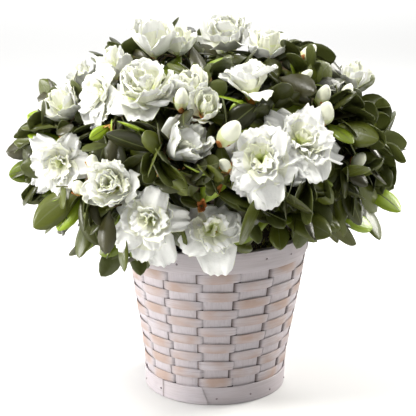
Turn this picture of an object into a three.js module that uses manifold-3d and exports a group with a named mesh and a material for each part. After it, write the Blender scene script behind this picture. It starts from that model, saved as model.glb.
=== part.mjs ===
import * as THREE from "three";
import Module from "manifold-3d";

// A double white azalea in a woven chipwood basket. Millimetres, +Z up, front towards -Y.
// The origin is on the table under the middle of the basket.

// Basket of thin splints
const BASKET_H = 155;
const FOOT_R = 68.5;
const FLARE = 18;
const WALL = 3;
const STAKES = 16;
const WEAVE_ROWS = 13;
const WEAVE_BULGE = 1.3;
const RIM_BAND_H = 19.8;
const FOOT_BAND_H = 18.4;
const BAND_T = 1.5;
const BOARD_T = 4;
const RIM_TILT = 0.035;
const RIM_SHIFT = 3.5;
const GAP = 0.3;
const ROUND = 32;
const INNER_HEIGHTS = [0.4, 48, 100, 139, BASKET_H];

// Soil
const SOIL_TOP = 147;
const SOIL_LEVEL_R = 26;

// Trunk and boughs
const TRUNK_TOP = 203;
const TRUNK_FOOT_R = 15;
const TRUNK_R = 8.6;
const TRUNK_TIP_R = 5.2;
const TRUNK_LEAN_X = 4;
const TRUNK_LEAN_Y = 3;
const BOUGH_R = 3.1;
const BOUGH_TIP_R = 2.1;
const FORK_Z = 175;
const BOUGH_SHARE = 0.42;

// Crown: half an ellipsoid above and a flatter one below its middle, a little lower at the back
const CROWN_X = -6;
const CROWN_Z = 225;
const CROWN_RX = 180;
const CROWN_RY = 165;
const CROWN_UP = 134;
const CROWN_DOWN = 82;
const CROWN_BACK_DROP = 16;
const CROWN_LIMIT = 1.12;
const LIMIT_ABOVE = -0.03;
const LIMIT_BELOW = 0.4;
const LEAF_L = 54;
const LEAF_W = 28;
const LEAF_T = 0.9;
const TWIG_R = 1.15;
const TWIG_SINK = 2.5;
const STEM_R = 2.0;
const CLEAR = 0.35;
const SHORTEST_EDGE = 0.02;
const NEAREST_CORNERS = 0.002;

// Foliage masses: name, azimuth from the front, elevation, height of the bough on the trunk
const MASSES = [
  ["front_low", -15, -13, 161],
  ["front_mid", -4, 28, 183],
  ["front_left", -57, 8, 171],
  ["upper_left", -38, 42, 191],
  ["front_right", 23, 15, 173],
  ["low_right", 42, -20, 163],
  ["right", 56, 15, 179],
  ["upper_right", 47, 50, 194],
  ["side_right", 100, -10, 166],
  ["back_right", 145, -12, 161],
  ["back_left", -160, -12, 165],
  ["side_left", -108, -8, 161],
  ["high_right", 115, 32, 187],
  ["high_back", -175, 35, 185],
  ["high_left", -110, 34, 181],
  ["top", -30, 80, 0],
];

// How far each kind of flower is spread, from 0 for a tight cup to 1 for a flat flower
const OPENNESS = { double: 1, ball: 0.7, ruffled: 1, semi: 1, rose: 0.3, tulip: 0.1, trumpet: 0.5 };
// Blooms seen from the front: azimuth, elevation, size across, flower, the way it faces, and its reach
const OPEN = [
  [-27.8, 40.3, 68, "ball", -12, 66], [-64, 68.5, 50, "tulip", -30, 78], [-51.4, 40.7, 62, "double", -52, 14],
  [-59.8, 6.5, 64, "double", -12, 12], [-32.5, 0.9, 48, "rose", -14, 24], [-20.2, -21.5, 70, "double", -10, 18],
  [1.3, -32, 64, "semi", 8, 34], [32.1, 17.8, 70, "ruffled", 16, 46], [17.3, 12, 70, "ruffled", -4, 26],
  [138.7, 78.7, 60, "rose", -15, 58],
];
const HALF = [
  [-45.6, 74.9, 34, "tulip", -10, 80], [-64.9, 52.2, 36, "tulip", -70, 74], [-74.1, 26.7, 42, "tulip", -40, 56],
  [-12, 16.4, 50, "tulip", 52, 40], [-7.9, 43.4, 38, "tulip", -20, 60], [-1.6, 34.6, 34, "tulip", 14, 50],
  [19.6, 41.5, 58, "trumpet", -30, 80], [65.4, 67.3, 38, "tulip", 30, 70], [86, 36, 34, "tulip", 20, 74, 0.95],
];
const BUDS = [
  [-39.4, 9.4, 15], [-44.9, -4.7, 17], [4.3, 21.5, 24], [-10.5, 36.1, 18], [71.6, 55.7, 18], [48.4, 46.7, 13],
  [48.3, 35.2, 18], [44.7, 27.2, 22], [5.7, 11.1, 14], [80, 17, 12], [54.3, 6.7, 17],
];
// Leafy shoots: azimuth, elevation, and how far the rosette turns up where that isn't as usual
const LEAFY = [
  [-33, -11, -0.35], [-73, 25], [-63, 15], [-1, 49], [65, 17], [52, -28], [19, -2, -0.55], [51, 0], [55, 45],
  [13, 59], [-17, 21], [33, 1], [-57, -10], [-8, 6, -0.5], [8, 29], [-26, -29, -0.3], [26, -24], [-75, 2],
  [150, 58], [-110, 60], [95, 62], [-172, 74], [-56, -30], [-48, -45], [-28, -46], [62, -38], [72, -12],
  [78, -20], [80, 8], [-86, 17], [-86, -4], [4, 4], [-17, 10],
];
const SPREAD_SHOOTS = 88;
const SPREAD_CLEAR = 13.5;
const SPREAD_SEED = 294;
const OPEN_SHARE = 0.34;
const HALF_SHARE = 0.54;
const BUD_SHARE = 0.7;

const DEG = Math.PI / 180;
const GOLDEN = 137.508;
const UP = new THREE.Vector3(0, 0, 1);

const wasm = await Module();
wasm.setup();

function makeRandom(seed) {
  let state = seed >>> 0;
  return () => {
    state = (Math.imul(state, 1664525) + 1013904223) >>> 0;
    return state / 4294967296;
  };
}

function bearing(az, el) {
  const flat = Math.cos(el * DEG);
  return new THREE.Vector3(Math.sin(az * DEG) * flat, -Math.cos(az * DEG) * flat, Math.sin(el * DEG));
}

function crownRadii(d) {
  return [CROWN_RX, CROWN_RY, d.z > 0 ? CROWN_UP - CROWN_BACK_DROP * Math.max(d.y, 0) : CROWN_DOWN];
}

function crownPoint(az, el, reach) {
  const d = bearing(az, el);
  const [rx, ry, rz] = crownRadii(d);
  return new THREE.Vector3(CROWN_X + d.x * rx * reach, d.y * ry * reach, CROWN_Z + d.z * rz * reach);
}

// Whether a point lies inside the crown's outline, which leaves may pass further below than above
function inCrown(p) {
  const d = new THREE.Vector3(p.x - CROWN_X, p.y, p.z - CROWN_Z);
  const way = d.clone().normalize();
  const [rx, ry, rz] = crownRadii(way);
  const share = Math.hypot(d.x / rx, d.y / ry, d.z / rz);
  return share < CROWN_LIMIT + Math.abs(way.z) * (way.z > 0 ? LIMIT_ABOVE : LIMIT_BELOW);
}

// A frame of two unit vectors square to a direction
function across(direction) {
  const side = Math.abs(direction.z) > 0.9 ? new THREE.Vector3(1, 0, 0) : UP;
  const u = new THREE.Vector3().crossVectors(side, direction).normalize();
  const v = new THREE.Vector3().crossVectors(direction, u);
  return [u, v];
}

function geometryOf(shape) {
  const geometry = new THREE.BufferGeometry();
  geometry.setAttribute("position", new THREE.Float32BufferAttribute(shape.points.flatMap((p) => p.toArray()), 3));
  geometry.setIndex(shape.faces.flat());
  return geometry;
}

// Tube of tapering rings round a path, closed at both ends
function tube(path, radii, sides, startNormal, endNormal, spin = 0) {
  const points = [];
  const faces = [];
  const last = path.length - 1;
  path.forEach((centre, i) => {
    const before = path[Math.max(i - 1, 0)];
    const after = path[Math.min(i + 1, last)];
    let along = after.clone().sub(before).normalize();
    if (i === 0 && startNormal) {
      along = startNormal;
    }
    if (i === last && endNormal) {
      along = endNormal;
    }
    const [u, v] = across(along);
    for (let k = 0; k < sides; k += 1) {
      const turn = (2 * Math.PI * k) / sides + spin;
      const p = centre.clone().addScaledVector(u, Math.cos(turn) * radii[i]);
      points.push(p.addScaledVector(v, Math.sin(turn) * radii[i]));
    }
  });
  for (let i = 0; i < last; i += 1) {
    for (let k = 0; k < sides; k += 1) {
      const a = i * sides + k;
      const b = i * sides + ((k + 1) % sides);
      faces.push([a, b, b + sides], [a, b + sides, a + sides]);
    }
  }
  for (let k = 1; k < sides - 1; k += 1) {
    faces.push([0, k + 1, k], [last * sides, last * sides + k, last * sides + k + 1]);
  }
  return { points, faces };
}

function bezier(a, b, c, d, steps) {
  return new THREE.CubicBezierCurve3(a, b, c, d).getPoints(steps);
}

// Wall of revolution from rings of [radius, height]; a closed section makes a hoop
function hoop(section, columns, shapeAt) {
  const points = [];
  const faces = [];
  const n = section.length;
  for (let k = 0; k < columns; k += 1) {
    section.forEach(([r, z], i) => points.push(shapeAt(r, z, (2 * Math.PI * k) / columns, i)));
  }
  for (let k = 0; k < columns; k += 1) {
    const next = (k + 1) % columns;
    for (let i = 0; i < n; i += 1) {
      const j = (i + 1) % n;
      faces.push([k * n + i, next * n + i, next * n + j], [k * n + i, next * n + j, k * n + j]);
    }
  }
  return { points, faces };
}

// Solid of revolution whose section starts and ends on the axis
function turned(section, columns, shapeAt) {
  const inner = section.slice(1, -1);
  const n = inner.length;
  const points = [];
  const faces = [];
  for (let k = 0; k < columns; k += 1) {
    inner.forEach(([r, z], i) => points.push(shapeAt(r, z, (2 * Math.PI * k) / columns, i)));
  }
  const low = points.push(shapeAt(0, section[0][1], 0, -1)) - 1;
  const high = points.push(shapeAt(0, section.at(-1)[1], 0, n)) - 1;
  for (let k = 0; k < columns; k += 1) {
    const next = (k + 1) % columns;
    for (let i = 0; i < n - 1; i += 1) {
      faces.push([k * n + i, next * n + i, next * n + i + 1], [k * n + i, next * n + i + 1, k * n + i + 1]);
    }
    faces.push([low, next * n, k * n], [high, k * n + n - 1, next * n + n - 1]);
  }
  return { points, faces };
}

// The hand-made basket stands a little crooked: its rim is higher on the right
function placed(r, z, turn) {
  const x = Math.sin(turn) * r;
  const share = z / BASKET_H;
  const level = THREE.MathUtils.smoothstep(r, SOIL_LEVEL_R, SOIL_LEVEL_R * 2);
  return new THREE.Vector3(x + RIM_SHIFT * share, -Math.cos(turn) * r, z + RIM_TILT * x * share * level);
}

function wallRadius(z) {
  const t = z / BASKET_H;
  return FOOT_R + FLARE * (3 * t * t - 2 * t * t * t);
}

function basketWeave() {
  const weaveLow = FOOT_BAND_H;
  const rowH = (BASKET_H - RIM_BAND_H - FOOT_BAND_H) / WEAVE_ROWS;
  const section = INNER_HEIGHTS.map((z) => [wallRadius(z) - WALL, z]).reverse();
  section.push([wallRadius(0), 0.4], [wallRadius(weaveLow), weaveLow]);
  const firstRow = section.length;
  for (let row = 0; row < WEAVE_ROWS; row += 1) {
    const z = weaveLow + rowH * (row + 0.5);
    section.push([wallRadius(z), z]);
  }
  section.push([wallRadius(BASKET_H - RIM_BAND_H), BASKET_H - RIM_BAND_H], [wallRadius(BASKET_H), BASKET_H]);
  return hoop(section, ROUND, (r, z, turn, i) => {
    const row = i - firstRow;
    const woven = row >= 0 && row < WEAVE_ROWS;
    const over = row % 2 === 0 ? 1 : -1;
    const bulge = woven ? WEAVE_BULGE * over * Math.cos((turn * STAKES) / 2) : 0;
    return placed(r + bulge, z, turn);
  });
}

function band(low, high, inner, outer) {
  const section = [[inner(low), low], [outer(low), low], [outer(high), high], [inner(high), high]];
  return hoop(section, ROUND, placed);
}

function soil() {
  const floor = BOARD_T + 2 * GAP;
  const side = WALL + 3 * GAP;
  const neck = side + BAND_T + GAP;
  const ledge = INNER_HEIGHTS[3] - 2 * GAP;
  const section = [
    [0, floor], [wallRadius(floor) - side, floor], ...INNER_HEIGHTS.slice(1, 3).map((z) => [wallRadius(z) - side, z]),
    [wallRadius(ledge) - side, ledge], [wallRadius(ledge) - neck, ledge], [wallRadius(SOIL_TOP) - neck, SOIL_TOP - 2],
    [58, SOIL_TOP + 1.5], [SOIL_LEVEL_R, SOIL_TOP], [0, SOIL_TOP],
  ];
  return turned(section, 24, (r, z, turn, i) => {
    const heap = i === 6 ? 2.2 * Math.sin(turn * 3 + 1) + 1.4 * Math.sin(turn) : 0;
    return placed(r, z + heap, turn);
  });
}

function trunkAxis(z) {
  const t = (z - SOIL_TOP) / (TRUNK_TOP - SOIL_TOP);
  return new THREE.Vector3(RIM_SHIFT + TRUNK_LEAN_X * t, TRUNK_LEAN_Y * t * t, z);
}

function trunkRadius(z) {
  const t = (z - SOIL_TOP) / (TRUNK_TOP - SOIL_TOP);
  return TRUNK_R + (TRUNK_TIP_R - TRUNK_R) * t + (TRUNK_FOOT_R - TRUNK_R) * Math.exp(-t * 16);
}

function trunk() {
  const shape = { points: [], faces: [] };
  const sides = 10;
  const heights = [SOIL_TOP + GAP, 149.5, 153, 158, 172, 188, TRUNK_TOP];
  heights.forEach((z) => {
    const c = trunkAxis(z);
    for (let k = 0; k < sides; k += 1) {
      const turn = (2 * Math.PI * k) / sides;
      const flare = z < 155 ? 1 + 0.16 * Math.cos(turn * 3 + 0.6) * ((155 - z) / 8) : 1;
      const r = trunkRadius(z) * flare;
      shape.points.push(new THREE.Vector3(c.x + Math.cos(turn) * r, c.y + Math.sin(turn) * r, z));
    }
  });
  for (let i = 0; i < heights.length - 1; i += 1) {
    for (let k = 0; k < sides; k += 1) {
      const a = i * sides + k;
      const b = i * sides + ((k + 1) % sides);
      shape.faces.push([a, b, b + sides], [a, b + sides, a + sides]);
    }
  }
  const top = (heights.length - 1) * sides;
  for (let k = 1; k < sides - 1; k += 1) {
    shape.faces.push([0, k + 1, k], [top, top + k, top + k + 1]);
  }
  return shape;
}

// Where a mass begins and which way its stem sets out
function massStart([name, az, el]) {
  if (name === "top") {
    return { start: trunkAxis(TRUNK_TOP), along: UP.clone() };
  }
  const fork = new THREE.Vector3(RIM_SHIFT, 0, FORK_Z);
  const middle = crownPoint(az, el, 1);
  const start = fork.clone().lerp(middle, BOUGH_SHARE);
  return { start, along: middle.sub(start).normalize() };
}

function bough(mass) {
  const [, az, , rootZ] = mass;
  const { start: end, along } = massStart(mass);
  const out = bearing(az, 0);
  const root = trunkAxis(rootZ).addScaledVector(out, trunkRadius(rootZ) + GAP + 0.25);
  const reach = root.distanceTo(end);
  const path = bezier(
    root,
    root.clone().addScaledVector(out, reach * 0.35),
    end.clone().addScaledVector(along, -reach * 0.3),
    end,
    4,
  );
  const radii = path.map((_, i) => BOUGH_R + ((BOUGH_TIP_R - BOUGH_R) * i) / 4);
  return tube(path, radii, 6, out, along);
}

// Flat pointed leaf with a thick root, from its root along a direction, upper face towards "face"
function leaf(root, along, face, length, width) {
  const side = new THREE.Vector3().crossVectors(along, face).normalize();
  const top = new THREE.Vector3().crossVectors(side, along);
  const at = (l, w, h) =>
    root.clone().addScaledVector(along, l * length).addScaledVector(side, w * width).addScaledVector(top, h);
  const bow = 0.03 * length;
  const points = [
    at(0, 0, LEAF_T / 2), at(0.56, 0.5, 0), at(0.53, 0, bow + LEAF_T / 2), at(0.56, -0.5, 0),
    at(0.53, 0, bow - LEAF_T / 2), at(1, 0, -0.06 * length), at(0, 0, -LEAF_T / 2),
  ];
  const faces = [
    [0, 1, 2], [0, 2, 3], [6, 3, 4], [6, 4, 1], [5, 2, 1], [5, 3, 2], [5, 4, 3], [5, 1, 4], [0, 6, 1], [6, 0, 3],
  ];
  return { points, faces };
}

// Double bloom as a faceted cup with a wavy edge; "open" from 0 for a tight cup to 1 for a flat flower
function bloom(root, facing, size, open, spin) {
  const [u, v] = across(facing);
  const lobes = 10;
  const edgeR = size * (0.33 + 0.17 * open);
  const edgeH = size * (0.62 - 0.36 * open);
  const points = [root.clone()];
  const faces = [];
  const ring = (r, h, swing) => {
    for (let k = 0; k < lobes; k += 1) {
      const turn = (2 * Math.PI * k) / lobes;
      const wave = 1 + swing * Math.cos(turn * 5 + spin);
      const p = root.clone().addScaledVector(u, Math.cos(turn) * r * wave);
      points.push(p.addScaledVector(v, Math.sin(turn) * r * wave).addScaledVector(facing, h * (1.4 - 0.4 * wave)));
    }
  };
  ring(edgeR, edgeH, 0.1);
  ring(edgeR * 0.6, edgeH + size * 0.16, 0.06);
  points.push(root.clone().addScaledVector(facing, edgeH + size * 0.08));
  for (let k = 0; k < lobes; k += 1) {
    const n = (k + 1) % lobes;
    faces.push([0, 1 + n, 1 + k], [1 + k, 1 + n, 11 + n], [1 + k, 11 + n, 11 + k], [11 + k, 11 + n, 21]);
  }
  return { points, faces };
}

function bud(root, facing, size) {
  const [u, v] = across(facing);
  const points = [root.clone()];
  for (let k = 0; k < 5; k += 1) {
    const turn = (2 * Math.PI * k) / 5;
    const p = root.clone().addScaledVector(u, Math.cos(turn) * size * 0.36);
    points.push(p.addScaledVector(v, Math.sin(turn) * size * 0.36).addScaledVector(facing, size * 0.6));
  }
  points.push(root.clone().addScaledVector(facing, size * 1.25));
  const faces = [];
  for (let k = 0; k < 5; k += 1) {
    faces.push([0, 1 + ((k + 1) % 5), 1 + k], [6, 1 + k, 1 + ((k + 1) % 5)]);
  }
  return { points, faces };
}

// All shoots: those seen from the front, then an even spread over the rest of the crown
function listShoots() {
  const shoots = [];
  [["open", OPEN], ["half", HALF]].forEach(([kind, rows]) => {
    rows.forEach(([az, el, size, flower, faceAz, faceEl, reach]) => {
      shoots.push({ az, el, kind, size, flower, facing: bearing(faceAz, faceEl), reach });
    });
  });
  BUDS.forEach(([az, el, size]) => shoots.push({ az, el, kind: "bud", size }));
  LEAFY.forEach(([az, el, turnUp]) => shoots.push({ az, el, kind: "leafy", size: 0, turnUp }));
  const seen = shoots.map((s) => bearing(s.az, s.el));
  const random = makeRandom(SPREAD_SEED);
  for (let i = 0; i < SPREAD_SHOOTS; i += 1) {
    const sine = -0.46 + (1.42 * (i + 0.5)) / SPREAD_SHOOTS;
    const el = Math.asin(sine) / DEG;
    const az = ((i * GOLDEN) % 360) - 180;
    const draw = random();
    const scale = random();
    const d = bearing(az, el);
    if (seen.some((s) => s.angleTo(d) < SPREAD_CLEAR * DEG)) {
      continue;
    }
    const front = Math.abs(az) < 95 && el < 75;
    if (draw < OPEN_SHARE && !front) {
      shoots.push({ az, el, kind: "open", size: 56 + 12 * scale });
    } else if (draw < HALF_SHARE && !front) {
      shoots.push({ az, el, kind: "half", size: 34 + 14 * scale });
    } else if (draw < BUD_SHARE) {
      shoots.push({ az, el, kind: "bud", size: 14 + 4 * scale });
    } else {
      shoots.push({ az, el, kind: "leafy", size: 0 });
    }
  }
  const massWays = MASSES.map(([, az, el]) => bearing(az, el));
  shoots.forEach((shoot, i) => {
    const d = bearing(shoot.az, shoot.el);
    shoot.seed = 101 + i * 7;
    shoot.mass = massWays.reduce((best, w, m) => (w.dot(d) > massWays[best].dot(d) ? m : best), 0);
  });
  return shoots;
}

// A shoot's twig from a node of the mass to its tip, a little bent, its root sunk in the older wood
function growTwig(shoot, nodes) {
  const random = makeRandom(shoot.seed);
  const reach = shoot.reach || { open: 0.86, half: 0.84, bud: 0.9, leafy: 0.84 }[shoot.kind];
  const tip = crownPoint(shoot.az, shoot.el, reach);
  const away = (node) => node.at.distanceTo(tip);
  const node = nodes.reduce((best, n) => (away(n) < away(best) ? n : best), nodes[0]);
  const from = node.at.clone().addScaledVector(node.along, -TWIG_SINK);
  const length = from.distanceTo(tip);
  const bend = from.clone().lerp(tip, 0.55);
  bend.x += (random() - 0.5) * 0.12 * length;
  bend.y += (random() - 0.5) * 0.12 * length;
  bend.z += random() * 0.07 * length;
  const along = tip.clone().sub(bend).normalize();
  const spin = random() * 2;
  // A point on the twig at a distance back from its tip
  const back = (distance) => {
    const last = bend.distanceTo(tip);
    const rest = Math.min((distance - last) / from.distanceTo(bend), 0.9);
    return distance < last ? tip.clone().addScaledVector(along, -distance) : bend.clone().lerp(from, rest);
  };
  return { path: [from, bend, tip], node: { at: bend, along }, tip, along, back, spin, random };
}

// Each leaf as a list of places it can take, the first free one being used
function growLeaves(shoot, twig) {
  const { along, back, random } = twig;
  const leafy = shoot.kind === "leafy";
  const count = { open: 4, half: 3, bud: 4, leafy: 6 }[shoot.kind];
  // Shoots turn up to the light, the low ones most
  const outward = bearing(shoot.az, shoot.el);
  const low = THREE.MathUtils.clamp(-outward.z * 3, 0, 1);
  const rosette = along.clone().addScaledVector(UP, shoot.turnUp ?? 0.25 + 0.5 * low).normalize();
  const face = rosette.clone().multiplyScalar(0.8).addScaledVector(outward, 0.15).addScaledVector(UP, 0.3);
  const [u, v] = across(rosette);
  const leaves = [];
  const spin = random() * 360;
  for (let k = 0; k < count; k += 1) {
    const spread = (leafy ? 88 - 7 * k : 82 + 14 * random()) * DEG;
    const root = back(leafy ? 1.2 + 3.4 * (count - 1 - k) : 7 + 4.5 * k);
    const size = 0.84 + 0.34 * random();
    leaves.push([0, 45, -45, 90].map((extra) => {
      const turn = (spin + k * GOLDEN + extra) * DEG;
      const out = u.clone().multiplyScalar(Math.cos(turn)).addScaledVector(v, Math.sin(turn));
      const way = rosette.clone().multiplyScalar(Math.cos(spread)).addScaledVector(out, Math.sin(spread));
      way.z -= 0.08;
      return leaf(root, way.normalize(), face, LEAF_L * size, LEAF_W * size);
    }));
  }
  return leaves;
}

// Blooms not given their own way lean up from the twig, each a little differently
function turnToLight(shoot, along) {
  const own = makeRandom(shoot.seed + 1700);
  const drift = new THREE.Vector3(own() - 0.5, own() - 0.5, own() - 0.2).multiplyScalar(0.7);
  shoot.facing = bearing(shoot.az, shoot.el).multiplyScalar(0.7).addScaledVector(along, 0.3);
  shoot.facing.addScaledVector(UP, 0.25).add(drift).normalize();
  if (shoot.kind === "open") {
    shoot.flower = ["double", "ruffled", "ball", "double", "semi"][Math.floor(own() * 5)];
  } else if (shoot.kind === "half") {
    shoot.flower = ["rose", "tulip", "trumpet"][Math.floor(own() * 3)];
  }
}

function growBloom(shoot, twig) {
  const { tip, along, random } = twig;
  if (shoot.kind === "leafy") {
    return [];
  }
  if (!shoot.facing) {
    turnToLight(shoot, along);
  }
  const facing = shoot.facing;
  const root = tip.clone().addScaledVector(facing, -4);
  const spin = random() * 6;
  const sizes = [1, 0.9, 0.8, 0.7].map((share) => share * shoot.size);
  if (shoot.kind === "bud") {
    return [sizes.map((size) => bud(root, facing, size))];
  }
  return [sizes.map((size) => bloom(root, facing, size, OPENNESS[shoot.flower], spin))];
}

// Whether two convex sets of points are at least the gap apart
function apart(a, b, gap) {
  const v = a[0].clone().sub(b[0]);
  const w = new THREE.Vector3();
  for (let step = 0; step < 40; step += 1) {
    const near = a.reduce((best, p) => (p.dot(v) < best.dot(v) ? p : best));
    const far = b.reduce((best, p) => (p.dot(v) > best.dot(v) ? p : best));
    w.subVectors(near, far);
    if (v.dot(w) > gap * v.length()) {
      return true;
    }
    w.sub(v);
    const share = THREE.MathUtils.clamp(-v.dot(w) / Math.max(w.lengthSq(), 1e-12), 0, 1);
    v.addScaledVector(w, share);
    if (share < 1e-6 || v.length() < gap) {
      return v.length() >= gap && share < 1e-6;
    }
  }
  return false;
}

// Whether a leaf would hang down before the front of the rim, which stays bare
function hidesRim(points) {
  return points.some((p) => {
    if (p.x >= 84) return p.x < 160 && p.y < 20 && p.z < 153;
    return p.x > -56 && p.y < -60 && p.z < 158 + Math.max(-p.y - 88, 0) * 0.3;
  });
}

function boundsOf(points) {
  const box = new THREE.Box3().setFromPoints(points);
  return box.expandByScalar(CLEAR / 2);
}

class Space {
  constructor() {
    this.taken = [];
  }

  // Clear of other masses and the wood by the gap; a leaf also keeps off its own mass's other pieces
  isFree(shape, mass, twig) {
    const box = boundsOf(shape.points);
    return shape.points.every(inCrown) && this.taken.every((t) => {
      const passes = t.mass === mass && (!twig || t.points === twig.points);
      return passes || !t.box.intersectsBox(box) || apart(shape.points, t.points, t.mass === mass ? 0.05 : CLEAR);
    });
  }

  take(shape, mass) {
    this.taken.push({ points: shape.points, box: boundsOf(shape.points), mass });
  }
}

// The outer shape of basket and soil together, which the crown keeps off
function basketBlock() {
  const points = [];
  for (let k = 0; k < 24; k += 1) {
    const turn = (2 * Math.PI * k) / 24;
    points.push(placed(FOOT_R + 3, 0, turn));
    points.push(placed(wallRadius(100) + 4, 100, turn));
    points.push(placed(wallRadius(BASKET_H) + 3.5, BASKET_H + 1, turn));
  }
  return { points };
}

function solidOf(shape) {
  const vertProperties = new Float32Array(shape.points.flatMap((p) => p.toArray()));
  const triVerts = new Uint32Array(shape.faces.flat());
  return new wasm.Manifold(new wasm.Mesh({ numProp: 3, vertProperties, triVerts }));
}

function cornersOf(solid) {
  const mesh = solid.getMesh();
  const corners = [];
  for (let i = 0; i < mesh.numVert; i += 1) {
    corners.push(new THREE.Vector3().fromArray(mesh.vertProperties, i * mesh.numProp));
  }
  return { corners, faces: Array.from(mesh.triVerts) };
}

// Whether no two corners of a solid are so close that rounding would weld them
function isClean(solid) {
  const corners = cornersOf(solid).corners.sort((a, b) => a.x - b.x);
  return corners.every((p, i) => {
    for (let k = i + 1; k < corners.length && corners[k].x - p.x < NEAREST_CORNERS; k += 1) {
      if (corners[k].distanceTo(p) < NEAREST_CORNERS) {
        return false;
      }
    }
    return true;
  });
}

// Joins the pieces of a mass one by one. A piece that meets the rest badly is nudged a little,
// and it is left out if that doesn't help or if it would hang loose
function fuse(shapes) {
  let joined = solidOf(shapes[0]);
  shapes.slice(1).forEach((shape) => {
    for (const nudge of [0, 0.05, -0.06, 0.1]) {
      const next = joined.add(solidOf(shape).translate([nudge, nudge, -nudge])).simplify(SHORTEST_EDGE);
      if (isClean(next) && next.decompose().length === 1) {
        joined = next;
        return;
      }
    }
  });
  const { corners, faces } = cornersOf(joined);
  const geometry = new THREE.BufferGeometry().setFromPoints(corners);
  geometry.setIndex(faces);
  return geometry;
}

const looks = {
  splint: { color: 0xcfc5c9, roughness: 0.75 },
  band: { color: 0xd8d0d6, roughness: 0.7 },
  soil: { color: 0x3a2a1e, roughness: 1 },
  bark: { color: 0x5f4a36, roughness: 0.9 },
  foliage: { color: 0x4d6b3a, roughness: 0.45 },
};

const azalea = new THREE.Group();

function addPiece(name, geometry, look) {
  geometry.computeVertexNormals();
  const material = new THREE.MeshStandardMaterial({ ...looks[look], metalness: 0 });
  const mesh = new THREE.Mesh(geometry, material);
  mesh.name = name;
  azalea.add(mesh);
}

const rimLow = BASKET_H - RIM_BAND_H;
const outerSkin = (z) => wallRadius(z) + GAP;
const innerSkin = (z) => wallRadius(z) - WALL - GAP;
addPiece("basket_weave", geometryOf(basketWeave()), "splint");
addPiece(
  "rim_band_outer",
  geometryOf(band(rimLow + GAP, BASKET_H + 0.4, outerSkin, (z) => outerSkin(z) + BAND_T)),
  "band",
);
addPiece(
  "rim_band_inner",
  geometryOf(band(INNER_HEIGHTS[3], BASKET_H + 0.4, (z) => innerSkin(z) - BAND_T, innerSkin)),
  "band",
);
addPiece("foot_band", geometryOf(band(0, FOOT_BAND_H - GAP, outerSkin, (z) => outerSkin(z) + BAND_T)), "band");
const boardR = wallRadius(0) - WALL - GAP;
addPiece(
  "base_board",
  geometryOf(turned([[0, 0], [boardR, 0], [boardR, BOARD_T], [0, BOARD_T]], ROUND, placed)),
  "splint",
);
addPiece("soil", geometryOf(soil()), "soil");

const space = new Space();
const stem = trunk();
addPiece("trunk", geometryOf(stem), "bark");
space.take(stem, "wood");
MASSES.filter(([name]) => name !== "top").forEach((mass) => {
  const shape = bough(mass);
  addPiece(`bough_${mass[0]}`, geometryOf(shape), "bark");
  for (let i = 0; i < 4; i += 1) {
    space.take({ points: shape.points.slice(i * 6, i * 6 + 12) }, "wood");
  }
});
const basket = basketBlock();
space.take(basket, "wood");

// Twigs of all masses come first, then blooms, then leaves
const shoots = listShoots();
const masses = MASSES.map((row, m) => {
  const { start, along } = massStart(row);
  const root = start.clone().addScaledVector(along, GAP);
  const middle = crownPoint(row[1], row[2], row[0] === "top" ? 0.5 : 0.62);
  const hub = root.clone().lerp(middle, 0.6);
  const core = tube([root, root.clone().addScaledVector(along, 6), hub], [STEM_R, STEM_R, STEM_R * 0.8], 6, along);
  space.take(core, m);
  return { nodes: [{ at: hub, along: hub.clone().sub(root).normalize() }], shapes: [core], hub };
});
shoots.sort((a, b) => {
  const near = (s) => crownPoint(s.az, s.el, 0.85).distanceTo(masses[s.mass].hub);
  return near(a) - near(b);
});
const grown = [];
shoots.forEach((shoot) => {
  const mass = masses[shoot.mass];
  const twig = growTwig(shoot, mass.nodes);
  const shape = tube(twig.path, [TWIG_R * 0.45, TWIG_R, TWIG_R * 0.85], 3, null, null, twig.spin);
  if (space.isFree(shape, shoot.mass)) {
    space.take(shape, shoot.mass);
    mass.shapes.push(shape);
    mass.nodes.push(twig.node);
    grown.push({ shoot, twig, mass, shape });
  }
});
grown.sort((a, b) => a.shoot.seed - b.shoot.seed);
[growBloom, growLeaves].forEach((grow) => {
  grown.forEach(({ shoot, twig, mass, shape: wood }) => {
    grow(shoot, twig).forEach((places) => {
      const leaves = grow === growLeaves;
      const shape = places.find((p) => {
        return !(leaves && hidesRim(p.points)) && space.isFree(p, shoot.mass, leaves ? wood : null);
      });
      if (shape) {
        space.take(shape, shoot.mass);
        mass.shapes.push(shape);
      }
    });
  });
});
masses.forEach((mass, m) => addPiece(`foliage_${MASSES[m][0]}`, fuse(mass.shapes), "foliage"));

export default azalea;
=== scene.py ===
import math
from functools import lru_cache

import bpy
import numpy as np
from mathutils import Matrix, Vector, noise


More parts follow.
